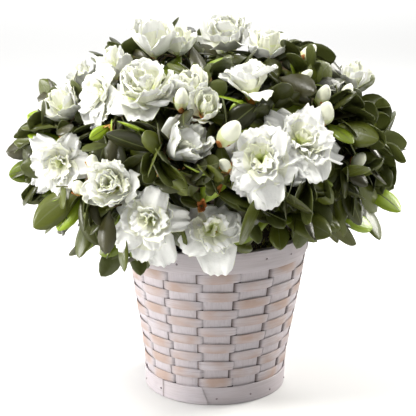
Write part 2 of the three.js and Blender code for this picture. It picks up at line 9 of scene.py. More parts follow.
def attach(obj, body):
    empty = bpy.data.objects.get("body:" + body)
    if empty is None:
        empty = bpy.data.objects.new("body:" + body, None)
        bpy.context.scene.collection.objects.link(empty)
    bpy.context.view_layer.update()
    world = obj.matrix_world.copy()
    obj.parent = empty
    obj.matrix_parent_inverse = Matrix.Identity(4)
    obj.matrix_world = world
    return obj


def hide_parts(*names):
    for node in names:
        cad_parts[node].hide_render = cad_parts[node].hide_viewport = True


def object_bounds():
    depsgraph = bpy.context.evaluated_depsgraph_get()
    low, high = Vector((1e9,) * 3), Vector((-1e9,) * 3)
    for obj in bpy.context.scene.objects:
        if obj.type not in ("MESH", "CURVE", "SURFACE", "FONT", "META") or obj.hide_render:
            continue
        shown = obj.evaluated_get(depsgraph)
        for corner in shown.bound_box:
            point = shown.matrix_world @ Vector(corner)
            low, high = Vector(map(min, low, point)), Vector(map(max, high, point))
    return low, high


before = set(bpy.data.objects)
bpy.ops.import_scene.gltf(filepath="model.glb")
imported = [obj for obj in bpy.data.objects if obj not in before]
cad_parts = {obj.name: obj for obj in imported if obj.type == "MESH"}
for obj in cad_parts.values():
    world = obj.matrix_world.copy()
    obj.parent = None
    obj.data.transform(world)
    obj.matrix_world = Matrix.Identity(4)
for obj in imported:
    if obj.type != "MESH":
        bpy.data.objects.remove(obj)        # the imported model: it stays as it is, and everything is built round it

# A double white azalea in a woven chipwood basket. The basket is in metres. The plant is grown in
# millimetres, as the source grows it, and scaled when its meshes are made.
cadBox = [list(corner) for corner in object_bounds()]
mm = 0.001
upward = np.array([0.0, 0.0, 1.0])

camera = {"place": (-0.0067, -1.1, 0.448), "tiltDown": 0.241, "lens": 99.8}
lights = [  # name, place, size, power, colour, target
    ("key", (-0.95, -0.8, 2.2), 0.8, 48, (1.0, 0.985, 0.95), (0, 0, 0.25)),
    ("side", (-1.6, -0.1, 0.42), 0.8, 29, (1.0, 0.99, 0.97), (0, 0, 0.2)),
    ("window", (1.6, 0.9, 1.2), 1.1, 60, (1.0, 0.98, 0.93), (0, 0, 0.25)),
    ("farFloor", (0, 6.5, 4.5), 5.0, 190, (1.0, 1.0, 1.0), (0, 6.5, 0)),
]
# how bright the room is from each side
room = {"even": 0.45, "fromLeft": 0.30, "fromBack": 0.44, "fromAbove": 0.60, "least": 0.05}


def aimAt(thing, target):
    thing.rotation_euler = (Vector(target) - thing.location).to_track_quat("-Z", "Y").to_euler()


def addNode(tree, kind, inputs, **settings):
    # a shader node; each input is given as a value or as the socket that feeds it
    node = tree.nodes.new("ShaderNode" + kind)
    for name, value in settings.items():
        setattr(node, name, value)
    for socket, value in inputs.items():
        if isinstance(value, bpy.types.NodeSocket):
            tree.links.new(value, node.inputs[socket])
        else:
            node.inputs[socket].default_value = value
    return node


cameraData = bpy.data.cameras.new("photoCamera")
cameraData.lens = camera["lens"]
cameraData.sensor_width = 36
photoCamera = bpy.data.objects.new("photoCamera", cameraData)
photoCamera.location = camera["place"]
photoCamera.rotation_euler = (math.pi / 2 - camera["tiltDown"], 0, 0)
bpy.context.scene.collection.objects.link(photoCamera)
bpy.context.scene.camera = photoCamera

for name, place, size, power, colour, target in lights:
    lightData = bpy.data.lights.new(name, "AREA")
    lightData.shape = "DISK"
    lightData.size = size
    lightData.energy = power
    lightData.color = colour
    lamp = bpy.data.objects.new(name, lightData)
    lamp.location = place
    bpy.context.scene.collection.objects.link(lamp)
    aimAt(lamp, target)

world = bpy.data.worlds.new("paleRoom")
world.use_nodes = True
sky = world.node_tree
roomWay = (-room["fromLeft"], room["fromBack"], room["fromAbove"])
skyPlace = addNode(sky, "TexCoord", {}).outputs["Generated"]
skyWay = addNode(sky, "VectorMath", {0: skyPlace, 1: roomWay}, operation="DOT_PRODUCT").outputs["Value"]
skyLevel = addNode(sky, "Math", {0: skyWay, 1: room["even"]}, operation="ADD").outputs[0]
skyLeast = addNode(sky, "Math", {0: skyLevel, 1: room["least"]}, operation="MAXIMUM").outputs[0]
sky.links.new(skyLeast, sky.nodes["Background"].inputs["Strength"])
sky.nodes["Background"].inputs["Color"].default_value = (1, 1, 1, 1)
bpy.context.scene.world = world
bpy.context.scene.view_settings.view_transform = "Standard"  # whites stay white and leaves dark
print("camera and lights set")


def newMaterial(name, roughness):
    material = bpy.data.materials.new(name)
    material.use_nodes = True
    shader = material.node_tree.nodes["Principled BSDF"]
    shader.inputs["Roughness"].default_value = roughness
    return material, material.node_tree, shader


def objectNoise(tree, scale, detail, stretch=(1, 1, 1)):
    # noise on Object coordinates, stretched along an axis for a grain
    place = addNode(tree, "TexCoord", {}).outputs["Object"]
    mapped = addNode(tree, "Mapping", {"Vector": place, "Scale": stretch}).outputs["Vector"]
    return addNode(tree, "TexNoise", {"Vector": mapped, "Scale": scale, "Detail": detail}).outputs["Fac"]


def ramp(tree, value, stops):
    made = addNode(tree, "ValToRGB", {"Fac": value})
    while len(made.color_ramp.elements) < len(stops):
        made.color_ramp.elements.new(0.5)
    for element, (position, colour) in zip(made.color_ramp.elements, stops):
        element.position = position
        element.color = (*colour, 1)
    return made.outputs["Color"]


def addBump(tree, shader, height, strength, distance):
    bump = addNode(tree, "Bump", {"Height": height, "Strength": strength, "Distance": distance})
    tree.links.new(bump.outputs["Normal"], shader.inputs["Normal"])


washed = {
    "white": (0.49, 0.452, 0.478), "grey": (0.37, 0.330, 0.348), "tan": (0.40, 0.290, 0.242),
    "dark": (0.055, 0.03, 0.022), "grainFine": 900, "grainLong": 28,
}


def washedWood(name, alongZ, wornShare, streakShare):
    # whitewash over chipwood: streaks along the splint, tan where it is rubbed, and painted shade in the crevices
    # beside the stakes
    material, tree, shader = newMaterial(name, 0.72)
    streaks = objectNoise(tree, washed["grainFine"], 5, (1, 1, 0.035) if alongZ else (0.035, 0.035, 1))
    patches = objectNoise(tree, washed["grainLong"], 4, (1, 1, 2.2))
    streak = tuple(w + (g - w) * streakShare for w, g in zip(washed["white"], washed["grey"]))
    coloured = ramp(tree, streaks, [(0.32, streak), (0.55, washed["white"])])
    spots = ramp(tree, patches, [(0.32, (0, 0, 0)), (0.6, (1, 1, 1))])
    worn, creviceShade = [
        addNode(tree, "Attribute", {}, attribute_name=mark).outputs["Fac"] for mark in ("worn", "creviceShade")
    ]
    rubbed = addNode(tree, "Math", {0: worn, 1: wornShare}, operation="MULTIPLY").outputs[0]
    tanShare = addNode(tree, "Math", {0: rubbed, 1: spots}, operation="MULTIPLY", use_clamp=True).outputs[0]
    # the tan where it is rubbed, then the dark colour as painted shade in the crevices
    for share, colour in ((tanShare, washed["tan"]), (creviceShade, washed["dark"])):
        mix = addNode(tree, "Mix", {0: share, 6: coloured, 7: (*colour, 1)}, data_type="RGBA")
        coloured = mix.outputs[2]
    tree.links.new(coloured, shader.inputs["Base Color"])
    addBump(tree, shader, streaks, 0.25, 0.0005)
    return material


def noisyMaterial(name, roughness, stops, scale, detail, stretch, strength, depth):
    # a ramp of colours and the relief under it, both from one noise
    material, tree, shader = newMaterial(name, roughness)
    grains = objectNoise(tree, scale, detail, stretch)
    tree.links.new(ramp(tree, grains, stops), shader.inputs["Base Color"])
    addBump(tree, shader, grains, strength, depth)
    return material


def plainMaterials(colours, roughness, bumpScale, bumpStrength, finish=None, stretch=(1, 1, 1)):
    # plain colours with a fine relief, for pieces whose colours are dealt out leaf by leaf
    made = []
    for name, colour in colours.items():
        material, tree, shader = newMaterial(name, roughness)
        shader.inputs["Base Color"].default_value = (*colour, 1)
        addBump(tree, shader, objectNoise(tree, bumpScale, 3, stretch), bumpStrength, 0.0005)
        for socket, value in (finish or {}).items():
            shader.inputs[socket].default_value = value
        made.append(material)
    return made


splintWood = washedWood("splintWood", False, 0.95, 0.9)
stakeWood = washedWood("stakeWood", True, 0.3, 0.5)
bandWood = washedWood("bandWood", False, 0.25, 0.55)
nailIron = plainMaterials({"nailIron": (0.22, 0.18, 0.19)}, 0.55, 2000, 0.3)
earthStops = [(0.3, (0.008, 0.005, 0.003)), (0.55, (0.035, 0.022, 0.013)), (0.8, (0.09, 0.06, 0.035))]
soilEarth = noisyMaterial("soilEarth", 0.95, earthStops, 260, 8, (1, 1, 1), 0.9, 0.002)
barkStops = [(0.3, (0.035, 0.022, 0.014)), (0.55, (0.13, 0.092, 0.06)), (0.75, (0.24, 0.195, 0.145))]
bark = noisyMaterial("bark", 0.85, barkStops, 420, 7, (1, 1, 0.22), 0.7, 0.001)

glossyLeaves = {  # with the coat of a full-grown leaf
    "leafDeep": (0.022, 0.024, 0.005), "leafDark": (0.040, 0.045, 0.008), "leafMid": (0.078, 0.092, 0.011),
    "leafOlive": (0.125, 0.170, 0.010),
}
otherLeaves = {
    "leafYoung": (0.27, 0.38, 0.018), "leafUnder": (0.085, 0.100, 0.022), "leafRib": (0.080, 0.095, 0.018),
    "leafAged": (0.040, 0.038, 0.011),
}
leafGloss = {"Coat Weight": 0.22, "Coat Roughness": 0.15, "Specular IOR Level": 0.22}
leafMaterials = plainMaterials(glossyLeaves, 0.38, 450, 0.6, leafGloss)
leafMaterials += plainMaterials(otherLeaves, 0.38, 450, 0.6)
leafTones = {name: i for i, name in enumerate([*glossyLeaves, *otherLeaves])}
petalColours = {
    "petalWhite": (0.885, 0.89, 0.855), "petalIvory": (0.88, 0.89, 0.73), "petalPale": (0.80, 0.85, 0.48),
    "petalThroat": (0.60, 0.69, 0.19),
}
petalGlow = {"Subsurface Weight": 0.35, "Subsurface Scale": 0.001, "Subsurface Radius": (1.0, 1.0, 1.0)}
petalMaterials = plainMaterials(petalColours, 0.55, 420, 0.9, petalGlow)
mossColours = {
    "mossOlive": (0.11, 0.12, 0.02), "mossYellow": (0.30, 0.28, 0.05), "mossBrown": (0.11, 0.07, 0.025),
}
mossMaterials = plainMaterials(mossColours, 0.8, 1500, 0.3)
budColours = {
    "scaleRust": (0.50, 0.18, 0.04), "scaleTan": (0.62, 0.36, 0.12), "scaleGreen": (0.26, 0.33, 0.05),
}
budMaterials = plainMaterials(budColours, 0.5, 1500, 0.3)
twigColours = {"twigBrown": (0.13, 0.085, 0.042), "twigGreen": (0.14, 0.15, 0.045)}
twigMaterials = plainMaterials(twigColours, 0.65, 1200, 0.4, stretch=(1, 1, 0.4))
print("materials made")

basket = {  # in metres; the rim tilts up to the right and sits a little to the right of the foot
    "height": 0.155, "footRadius": 0.0685, "flare": 0.018, "midRadius": 0.078, "wall": 0.003,
    "rimTilt": 0.035, "rimShift": 0.0035, "levelRadius": 0.026, "rimBand": 0.0198, "footBand": 0.0184,
    "bandThickness": 0.0015, "bandRounding": 0.0004, "bandTop": 0.1552, "gap": 0.0003, "ripple": 0.0002,
    "clearance": 0.0003, "lapThickness": 0.0007, "lapRounding": 0.0002, "lapLift": 0.0004, "endShadeReach": 0.025,
}
weave = {  # a splint swings out over every other stake, and dives behind the next one beside its edge
    "stakes": 16, "rows": 13, "stakeShare": 0.8, "stakeThickness": 0.001, "splintThickness": 0.0008,
    "middle": -0.0009, "swing": 0.00115, "pillow": 0.0007, "crown": 0.0003, "rounding": 0.0002,
    "dive": 0.0036, "diveEarly": 0.0008, "crowding": 0.065, "shadeRight": 0.0026, "shadeLeft": 0.001,
    "stakeFoot": 0.0012, "stakeRipple": 0.00005,
}


def wallRadius(z):
    t = z / basket["height"]
    return basket["footRadius"] + basket["flare"] * (3 * t * t - 2 * t * t * t)


def smoothStep(t):
    return t * t * (3 - 2 * t)


def placed(r, z, turn):
    # a point of the hand-made basket, which stands a little crooked: its rim is higher on the right
    x = np.sin(turn) * r
    share = z / basket["height"]
    level = smoothStep(np.clip((r - basket["levelRadius"]) / basket["levelRadius"], 0, 1))
    raised = basket["rimTilt"] * x * share * level
    return np.stack([x + basket["rimShift"] * share, -np.cos(turn) * r, z + raised], -1)


def weavePhase(turn):
    # the stakes stand a little wider apart at the front
    phase = turn
    for _ in range(3):
        phase = turn - weave["crowding"] * np.sin(phase)
    return phase


def stakeTurn(i):
    phase = 2 * math.pi * i / weave["stakes"]
    return phase + weave["crowding"] * np.sin(phase)


halfStake = weave["stakeShare"] * math.pi * basket["midRadius"] / weave["stakes"]


def selectOnly(*pieces):
    bpy.ops.object.select_all(action="DESELECT")
    for piece in pieces:
        piece.select_set(True)
    if pieces:
        bpy.context.view_layer.objects.active = pieces[0]


def cornersOf(piece):
    points = np.empty(len(piece.data.vertices) * 3)
    piece.data.vertices.foreach_get("co", points)
    return points.reshape(-1, 3)


def turnOf(points):
    # the way round the basket, from the front
    return np.arctan2(points[:, 0] - basket["rimShift"] * points[:, 2] / basket["height"], -points[:, 1])


def strip(name, columns, rows, where, closed=False):
    # a flat grid bent into a strip: "where" places it from shares along and up
    selectOnly()
    bpy.ops.mesh.primitive_grid_add(x_subdivisions=columns, y_subdivisions=rows, size=1)
    piece = bpy.context.object
    piece.name = name
    flat = cornersOf(piece) + 0.5
    piece.data.vertices.foreach_set("co", where(flat[:, 0], flat[:, 1]).ravel())
    if closed:
        bpy.ops.object.mode_set(mode="EDIT")
        bpy.ops.mesh.select_all(action="SELECT")
        bpy.ops.mesh.remove_doubles(threshold=0.00001)
        bpy.ops.object.mode_set(mode="OBJECT")
    return piece


def joinPieces(pieces, name):
    selectOnly(*pieces)
    bpy.ops.object.join()
    bpy.context.object.name = name
    return bpy.context.object


def thicken(piece, thickness, rounding):
    selectOnly(piece)
    wall = piece.modifiers.new("thickness", "SOLIDIFY")
    wall.thickness = thickness
    wall.offset = 0
    bpy.ops.object.modifier_apply(modifier=wall.name)
    edge = piece.modifiers.new("rounding", "BEVEL")
    edge.width = rounding
    edge.segments = 2
    edge.limit_method = "ANGLE"
    edge.angle_limit = math.radians(55)
    bpy.ops.object.modifier_apply(modifier=edge.name)
    bpy.ops.object.shade_smooth_by_angle(angle=math.radians(50))


def setAttribute(piece, name, values):
    layer = piece.data.attributes.new(name, "FLOAT", "POINT")
    layer.data.foreach_set("value", (np.zeros(len(layer.data)) + values).astype(np.float32))


def finishPiece(piece, materials, slot, *nodes):
    piece.data.materials.clear()
    for material in materials:
        piece.data.materials.append(material)
    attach(piece, "root")
    if nodes:
        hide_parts(*nodes)


def wobble(turn, seed, size):
    slow, quick = np.sin(turn * 3 + seed * 2.1), np.sin(turn * 7 + seed * 5.3)
    return size * (slow + 0.6 * quick + 0.4 * np.sin(turn * 13 + seed))


rowHeight = (basket["height"] - basket["rimBand"] - basket["footBand"]) / weave["rows"]


def weaveSide(turn, row):
    # 1 on the crest over a stake, -1 behind one, and the distance to the stake that hides the splint
    phase = weavePhase(turn) * weave["stakes"] / 2 + (math.pi if row % 2 == 0 else 0)
    wrapped = (phase + math.pi) % (2 * math.pi) - math.pi
    return -np.cos(phase), wrapped / (weave["stakes"] / 2) * basket["midRadius"]


def weaverAt(row):
    low = basket["footBand"] + row * rowHeight

    def where(along, up):
        turn = (along * 2 - 1) * math.pi
        side, beside = weaveSide(turn, row)
        away = np.abs(beside) - halfStake
        out = smoothStep(np.clip((away + weave["diveEarly"]) / weave["dive"], 0, 1))
        swing = weave["middle"] + weave["swing"] * (2 * out - 1) + weave["pillow"] * np.clip(side, 0, 1)
        tall = rowHeight * (0.94 + 0.12 * np.clip(side, 0, 1) ** 0.7)
        z = low + rowHeight / 2 + (up - 0.5) * tall + wobble(turn, row, basket["ripple"])
        crown = weave["crown"] * (1 - (up * 2 - 1) ** 2)
        return placed(wallRadius(z) + swing + crown, z, turn)

    return where


def weaverMarks(piece, row):
    # worn on the crests; painted shade beside the stakes it dips behind, reaching further on the right side, away
    # from the light
    side, beside = weaveSide(turnOf(cornersOf(piece)), row)
    away = np.clip(np.abs(beside) - halfStake, 0, 1)
    reach = np.where(beside > 0, weave["shadeRight"], weave["shadeLeft"])
    dark = np.exp(-(away / reach) ** 2) * np.where(beside > 0, 1.0, 0.25)
    setAttribute(piece, "worn", np.clip(side + 0.25, 0, 1))
    setAttribute(piece, "creviceShade", np.clip(dark, 0, 1))


weavers = []
for row in range(weave["rows"]):
    weaver = strip(f"weaver{row}", 320, 4, weaverAt(row), closed=True)
    weaverMarks(weaver, row)
    weavers.append(weaver)
weaverPiece = joinPieces(weavers, "basket_weavers")
thicken(weaverPiece, weave["splintThickness"], weave["rounding"])
finishPiece(weaverPiece, [splintWood], "splint", "basket_weave")


def stakeAt(i):
    def where(along, up):
        z = weave["stakeFoot"] + up * (basket["height"] - 0.002)
        turn = stakeTurn(i + (along - 0.5) * weave["stakeShare"])
        return placed(wallRadius(z) + weave["middle"] + wobble(turn, i, weave["stakeRipple"]), z, turn)

    return where


stakes = []
for i in range(weave["stakes"]):
    stake = strip(f"stake{i}", 5, 48, stakeAt(i))
    setAttribute(stake, "worn", 0.4)
    stakes.append(stake)
stakePiece = joinPieces(stakes, "basket_stakes")
thicken(stakePiece, weave["stakeThickness"], weave["rounding"])
finishPiece(stakePiece, [stakeWood], "splint", "basket_weave")


def hoopAt(low, high, out, seed):
    def where(along, up):
        turn = (along * 2 - 1) * math.pi
        z = low + up * (high - low) + wobble(turn, seed, basket["ripple"]) * (0.3 + 0.7 * up)
        return placed(wallRadius(z) + out, np.maximum(z, basket["clearance"]), turn)

    return where


def lapAt(start, end, low, high, out, slant):
    # a hoop's overlapping end, from one turn to another, its edge cut aslant
    def where(along, up):
        z = low + up * (high - low)
        turn = start + along * (end + slant * (0.5 - up) - start)
        return placed(wallRadius(z) + out + basket["lapLift"] * along, np.maximum(z, basket["clearance"]), turn)

    return where


outside = basket["gap"] + basket["bandThickness"] / 2
rimLow = basket["height"] - basket["rimBand"]
hoops = {  # lower and upper edge, distance from the wall, seed of the ripple, node
    "rim_hoop_outer": (rimLow + 0.0003, basket["bandTop"], outside, 1, "rim_band_outer"),
    "rim_hoop_inner": (0.139, basket["bandTop"], -basket["wall"] - outside, 2, "rim_band_inner"),
    "foot_hoop": (0.0003, 0.0181, outside, 3, "foot_band"),
}


def finishBand(band, thickness, rounding, node):
    setAttribute(band, "worn", 0.5)
    thicken(band, thickness, rounding)
    finishPiece(band, [bandWood], "band", node)


for name, (low, high, out, seed, node) in hoops.items():
    hoop = strip(name, 160, 5, hoopAt(low, high, out, seed), closed=True)
    finishBand(hoop, basket["bandThickness"], basket["bandRounding"], node)

laps = {  # first and last turn, lower and upper edge, distance from the wall, slant, node
    "rim_lap": (1.46, 2.0, rimLow + 0.0006, 0.1553, 0.0023, 0.0, "rim_band_outer"),
    "foot_lap": (-0.80, -0.13, 0.0006, 0.0180, 0.0021, 0.09, "foot_band"),
}
for name, (start, end, low, high, out, slant, node) in laps.items():
    lap = strip(name, 24, 5, lapAt(start, end, low, high, out, slant))
    # painted shadow: each lap is darker near its first cut end, where its edge casts shade
    fromEnd = (turnOf(cornersOf(lap)) - start) / basket["endShadeReach"]
    setAttribute(lap, "creviceShade", np.exp(-fromEnd ** 2))
    finishBand(lap, basket["lapThickness"], basket["lapRounding"], node)

nails = {  # each row has its height and the turn of its first nail, and each nail strays from both
    "radius": 0.0011, "height": 0.0007, "proud": 0.0019, "count": 14,
    "rows": ((0.1447, 0.04), (0.0065, 0.02)), "strayTurn": 0.05, "strayHeight": 0.0015,
}
heads = []
for z, shift in nails["rows"]:
    for i in range(nails["count"]):
        turn = 2 * math.pi * i / nails["count"] + shift + nails["strayTurn"] * math.sin(i * 2.3)
        height = z + nails["strayHeight"] * math.sin(i * 1.7)
        selectOnly()
        bpy.ops.mesh.primitive_uv_sphere_add(segments=10, ring_count=6, radius=1)
        head = bpy.context.object
        head.scale = (nails["radius"], nails["radius"], nails["height"])
        outward = Vector((math.sin(turn), -math.cos(turn), 0))
        head.rotation_euler = outward.to_track_quat("Z", "Y").to_euler()
        head.location = Vector(placed(wallRadius(height) + nails["proud"], height, turn))
        bpy.ops.object.transform_apply(location=True, rotation=True, scale=True)
        heads.append(head)
nailPiece = joinPieces(heads, "basket_nails")
bpy.ops.object.shade_smooth()
finishPiece(nailPiece, nailIron, "band")
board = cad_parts["base_board"].data
board.materials.clear()
board.materials.append(splintWood)
print("basket woven")

soil = {"floor": 0.0046, "side": 0.0039, "edge": 0.143, "lumps": ((90, 0.0022), (260, 0.0012))}
soilTop = [(0.026, 0.1475), (0.058, 0.1485), (0.066, 0.147), (0.0775, 0.1435)]  # radius and height
soilLine = [  # share of the way from the middle of the floor to the middle of the top, radius, height
    (0.0, 0, soil["floor"]), (0.12, wallRadius(soil["floor"]) - soil["side"], soil["floor"]),
    (0.45, wallRadius(0.138) - soil["side"], 0.138), (0.48, wallRadius(0.139) - 0.0059, 0.1386),
    (0.56, wallRadius(soil["edge"]) - 0.0062, soil["edge"]), (0.66, *soilTop[2]), (0.72, *soilTop[1]),
    (0.86, *soilTop[0]), (1.0, 0, 0.147),
]


def soilAt(along, up):
    shares, radii, heights = zip(*soilLine)
    radius = np.interp(up, shares, radii)
    points = placed(radius, np.interp(up, shares, heights), (along * 2 - 1) * math.pi)
    onTop = np.clip((up - 0.52) / 0.1, 0, 1)
    for i in np.nonzero(onTop)[0]:
        lump = sum(noise.noise(Vector(points[i] * scale)) * height for scale, height in soil["lumps"])
        points[i, 2] += onTop[i] * lump * min(1, radius[i] / 0.02)
    return points


soilPiece = strip("soil_bed", 120, 70, soilAt, closed=True)
bpy.ops.object.shade_smooth()
finishPiece(soilPiece, [soilEarth], "soil", "soil")


def soilHeight(r):
    return np.interp(r, *zip(*soilTop))


crumbs = {"count": 110, "least": 0.001, "most": 0.0026, "from": 0.02, "over": 0.057}
lumps = []
for i in range(crumbs["count"]):
    r = crumbs["from"] + crumbs["over"] * math.sqrt((i * 0.618) % 1)
    radius = crumbs["least"] + (crumbs["most"] - crumbs["least"]) * ((i * 0.37) % 1) ** 2
    selectOnly()
    bpy.ops.mesh.primitive_ico_sphere_add(subdivisions=2, radius=radius, location=(0, 0, 0))
    lump = bpy.context.object
    place = Vector(placed(r, soilHeight(r) + radius * 0.3, i * 2.4))
    for v in lump.data.vertices:
        v.co = v.co * (1 + 0.5 * noise.noise(v.co * 500 + Vector((i, 0, 0)))) + place
    lumps.append(lump)
crumbPiece = joinPieces(lumps, "soil_crumbs")
bpy.ops.object.shade_smooth()
finishPiece(crumbPiece, [soilEarth], "soil", "soil")
print("soil filled")


def makeRandom(seed):
    # the same sequence of draws as in the source
    state = [seed & 0xFFFFFFFF]

    def draw():
        state[0] = (state[0] * 1664525 + 1013904223) & 0xFFFFFFFF
        return state[0] / 4294967296

    return draw


class Heap:
    # gathers points and four-sided faces, each with the number of its material, for one joined mesh
    def __init__(self):
        self.points, self.faces, self.tones, self.smooth, self.count = [], [], [], [], 0

    def add(self, points, faces, tones, flatEnd=0):
        # the last flatEnd faces are left flat, so a thin sheet's two sides shade apart
        self.points.append(points)
        self.faces.append(faces + self.count)
        self.tones.append(tones)
        self.smooth.append(np.arange(len(faces)) < len(faces) - flatEnd)
        self.count += len(points)

    def build(self, name, materials, slot, nodes):
        faces = np.concatenate(self.faces)
        mesh = bpy.data.meshes.new(name)
        mesh.from_pydata(np.concatenate(self.points) * mm, [], faces)
        mesh.polygons.foreach_set("use_smooth", np.concatenate(self.smooth))
        piece = bpy.data.objects.new(name, mesh)
        bpy.context.scene.collection.objects.link(piece)
        finishPiece(piece, materials, slot, *nodes)
        mesh.polygons.foreach_set("material_index", np.concatenate(self.tones).astype(np.int32))
        print(name, len(faces) * 2, "triangles")


def unit(v):
    return v / max(np.linalg.norm(v), 1e-9)


def across(direction):
    side = np.array([1.0, 0, 0]) if abs(direction[2]) > 0.9 else upward
    u = unit(np.cross(side, direction))
    return u, np.cross(direction, u)


def around(u, v, turn):
    return u * math.cos(turn) + v * math.sin(turn)


def evenTurns(count):
    return 2 * math.pi * np.arange(count) / count


def ring(centre, u, v, radii):
    turns = evenTurns(len(radii))
    return centre + np.outer(np.cos(turns) * radii, u) + np.outer(np.sin(turns) * radii, v)


@lru_cache
def sheetQuads(rows, columns):
    # upper side, lower side and the edge round a thin closed sheet
    n = rows * columns
    first, left = np.arange(columns - 1), np.arange(rows - 1) * columns
    last, right = (rows - 1) * columns + first, left + columns - 1
    a = (left[:, None] + first[None, :]).ravel()
    upper = np.stack([a, a + 1, a + columns + 1, a + columns], 1)
    starts = np.concatenate([first, last + 1, right, left + columns])
    ends = np.concatenate([first + 1, last, right + columns, left])
    rim = np.stack([ends, starts, starts + n, ends + n], 1)
    return np.concatenate([upper, upper[:, ::-1] + n, rim]), len(rim)


def gridShares(rows, columns):
    return rows[:, None, None], columns[None, :, None]


def addSheet(heap, grid, thickness, upperTones, lowerTones):
    # grid is rows by columns of points; its upper side faces "columns crossed with rows"
    rows, columns, _ = grid.shape
    normal = np.cross(np.gradient(grid, axis=1), np.gradient(grid, axis=0))
    normal /= np.maximum(np.linalg.norm(normal, axis=2, keepdims=True), 1e-6)
    quads, rimCount = sheetQuads(rows, columns)
    points = np.concatenate([grid.reshape(-1, 3), (grid - normal * thickness).reshape(-1, 3)])
    tones = [upperTones.ravel(), lowerTones.ravel(), np.full(rimCount, lowerTones.flat[0])]
    heap.add(points, quads, np.concatenate(tones), rimCount)


def bezier(points, t):
    # a curve of four points, at the shares t of its length
    a, b, c, d = [np.asarray(p, float) for p in points]
    t = t[:, None]
    return a * (1 - t) ** 3 + 3 * b * t * (1 - t) ** 2 + 3 * c * t * t * (1 - t) + d * t ** 3


def addRings(heap, rings, tones, flatEnds=True):
    # faces between the rings of a tube, then its two ends; an even number of sides
    count, sides, _ = rings.shape
    k = np.arange(sides)
    quads = []
    for i in range(count - 1):
        a, b = i * sides + k, i * sides + (k + 1) % sides
        quads.append(np.stack([a, b, b + sides, a + sides], 1))
    half = np.arange(sides // 2 - 1)
    foot = np.stack([sides - 1 - half, sides - 2 - half, half + 1, half], 1)
    head = np.stack([half, half + 1, sides - 2 - half, sides - 1 - half], 1) + (count - 1) * sides
    ringTones = [tones[min(i, len(tones) - 1)] for i in range(count - 1)]
    ends = np.repeat([ringTones[0], ringTones[-1]], len(foot))
    faceTones = np.concatenate([np.repeat(ringTones, sides), ends])
    heap.add(rings.reshape(-1, 3), np.concatenate([*quads, foot, head]), faceTones, flatEnds * len(ends))


def addTube(heap, path, radii, sides, tones, relief=None):
    # the rings keep their turn along the path
    path = np.asarray(path, float)
    tangents = np.gradient(path, axis=0)
    tangents /= np.linalg.norm(tangents, axis=1, keepdims=True)
    u, _ = across(tangents[0])
    rings = []
    for centre, tangent, radius in zip(path, tangents, radii):
        u = unit(u - tangent * np.dot(u, tangent))
        v = np.cross(tangent, u)
        r = np.full(sides, radius)
        rings.append(ring(centre, u, v, r if relief is None else relief(centre, u, v, r)))
    addRings(heap, np.array(rings), tones)


moss = {  # small loose moss on the soil, thickest inside the rim on the right
    "blades": 760, "length": 5.5, "width": 0.9, "thickness": 0.25, "seed": 77,
    "from": 0.047, "over": 0.031, "thick": (0.75, 1.3),
}
bladeShare, bladeSide = gridShares(np.array([0, 0.5, 1.0]), np.array([-1.0, 1.0]))
bladeHalf = np.array([1.0, 0.8, 0.2])[:, None, None] * moss["width"] / 2
mossHeap = Heap()
draw = makeRandom(moss["seed"])
for i in range(moss["blades"]):
    turn = moss["thick"][0] + moss["thick"][1] * draw() if i % 4 else 2 * math.pi * draw()
    r = moss["from"] + moss["over"] * math.sqrt(draw())
    root = placed(r, soilHeight(r) - 0.0005, turn) / mm
    way = unit(np.array([draw() - 0.5, draw() - 0.5, 0.75]))
    side, _ = across(way)
    length = moss["length"] * (0.4 + 0.8 * draw())
    grid = root + way * (bladeShare * length) - upward * (0.2 * length * bladeShare ** 2)
    grid = grid + side * (bladeSide * bladeHalf)
    tone = np.full((2, 1), int(draw() * 2.6))
    addSheet(mossHeap, grid, moss["thickness"], tone, tone)
mossHeap.build("moss", mossMaterials, "foliage", ["soil"])

stem = {
    "foot": 147, "top": 203, "footRadius": 15, "radius": 8.6, "tipRadius": 5.2, "leanX": 4, "leanY": 3,
    "boughRadius": 3.1, "boughTipRadius": 2.1, "forkHeight": 175, "boughShare": 0.42, "startX": 3.5,
}
crown = {
    "x": -6, "z": 225, "rx": 180, "ry": 165, "up": 134, "down": 82, "backDrop": 16, "limit": 1.12,
    "limitAbove": -0.03, "limitBelow": 0.4,
}
# masses of foliage: name, azimuth from the front, elevation, height of the bough on the trunk
masses = [
    ("front_low", -15, -13, 161), ("front_mid", -4, 28, 183), ("front_left", -57, 8, 171),
    ("upper_left", -38, 42, 191), ("front_right", 23, 15, 173), ("low_right", 42, -20, 163),
    ("right", 56, 15, 179), ("upper_right", 47, 50, 194), ("side_right", 100, -10, 166),
    ("back_right", 145, -12, 161), ("back_left", -160, -12, 165), ("side_left", -108, -8, 161),
    ("high_right", 115, 32, 187), ("high_back", -175, 35, 185), ("high_left", -110, 34, 181),
    ("top", -30, 80, 0),
]


def bearing(az, el):
    flat = math.cos(math.radians(el))
    a = math.radians(az)
    return np.array([math.sin(a) * flat, -math.cos(a) * flat, math.sin(math.radians(el))])


def crownRadii(d):
    rz = crown["up"] - crown["backDrop"] * max(d[1], 0) if d[2] > 0 else crown["down"]
    return np.array([crown["rx"], crown["ry"], rz])


def crownPoint(az, el, reach):
    d = bearing(az, el)
    return np.array([crown["x"], 0, crown["z"]]) + d * crownRadii(d) * reach


def inCrown(p):
    d = p - np.array([crown["x"], 0, crown["z"]])
    way = unit(d)
    share = np.linalg.norm(d / crownRadii(way))
    slack = crown["limitAbove"] if way[2] > 0 else crown["limitBelow"]
    return share < crown["limit"] + abs(way[2]) * slack


def trunkAxis(z):
    t = (z - stem["foot"]) / (stem["top"] - stem["foot"])
    return np.array([stem["startX"] + stem["leanX"] * t, stem["leanY"] * t * t, z])


def trunkRadius(z):
    t = (z - stem["foot"]) / (stem["top"] - stem["foot"])
    taper = stem["radius"] + (stem["tipRadius"] - stem["radius"]) * t
    return taper + (stem["footRadius"] - stem["radius"]) * math.exp(-16 * t)


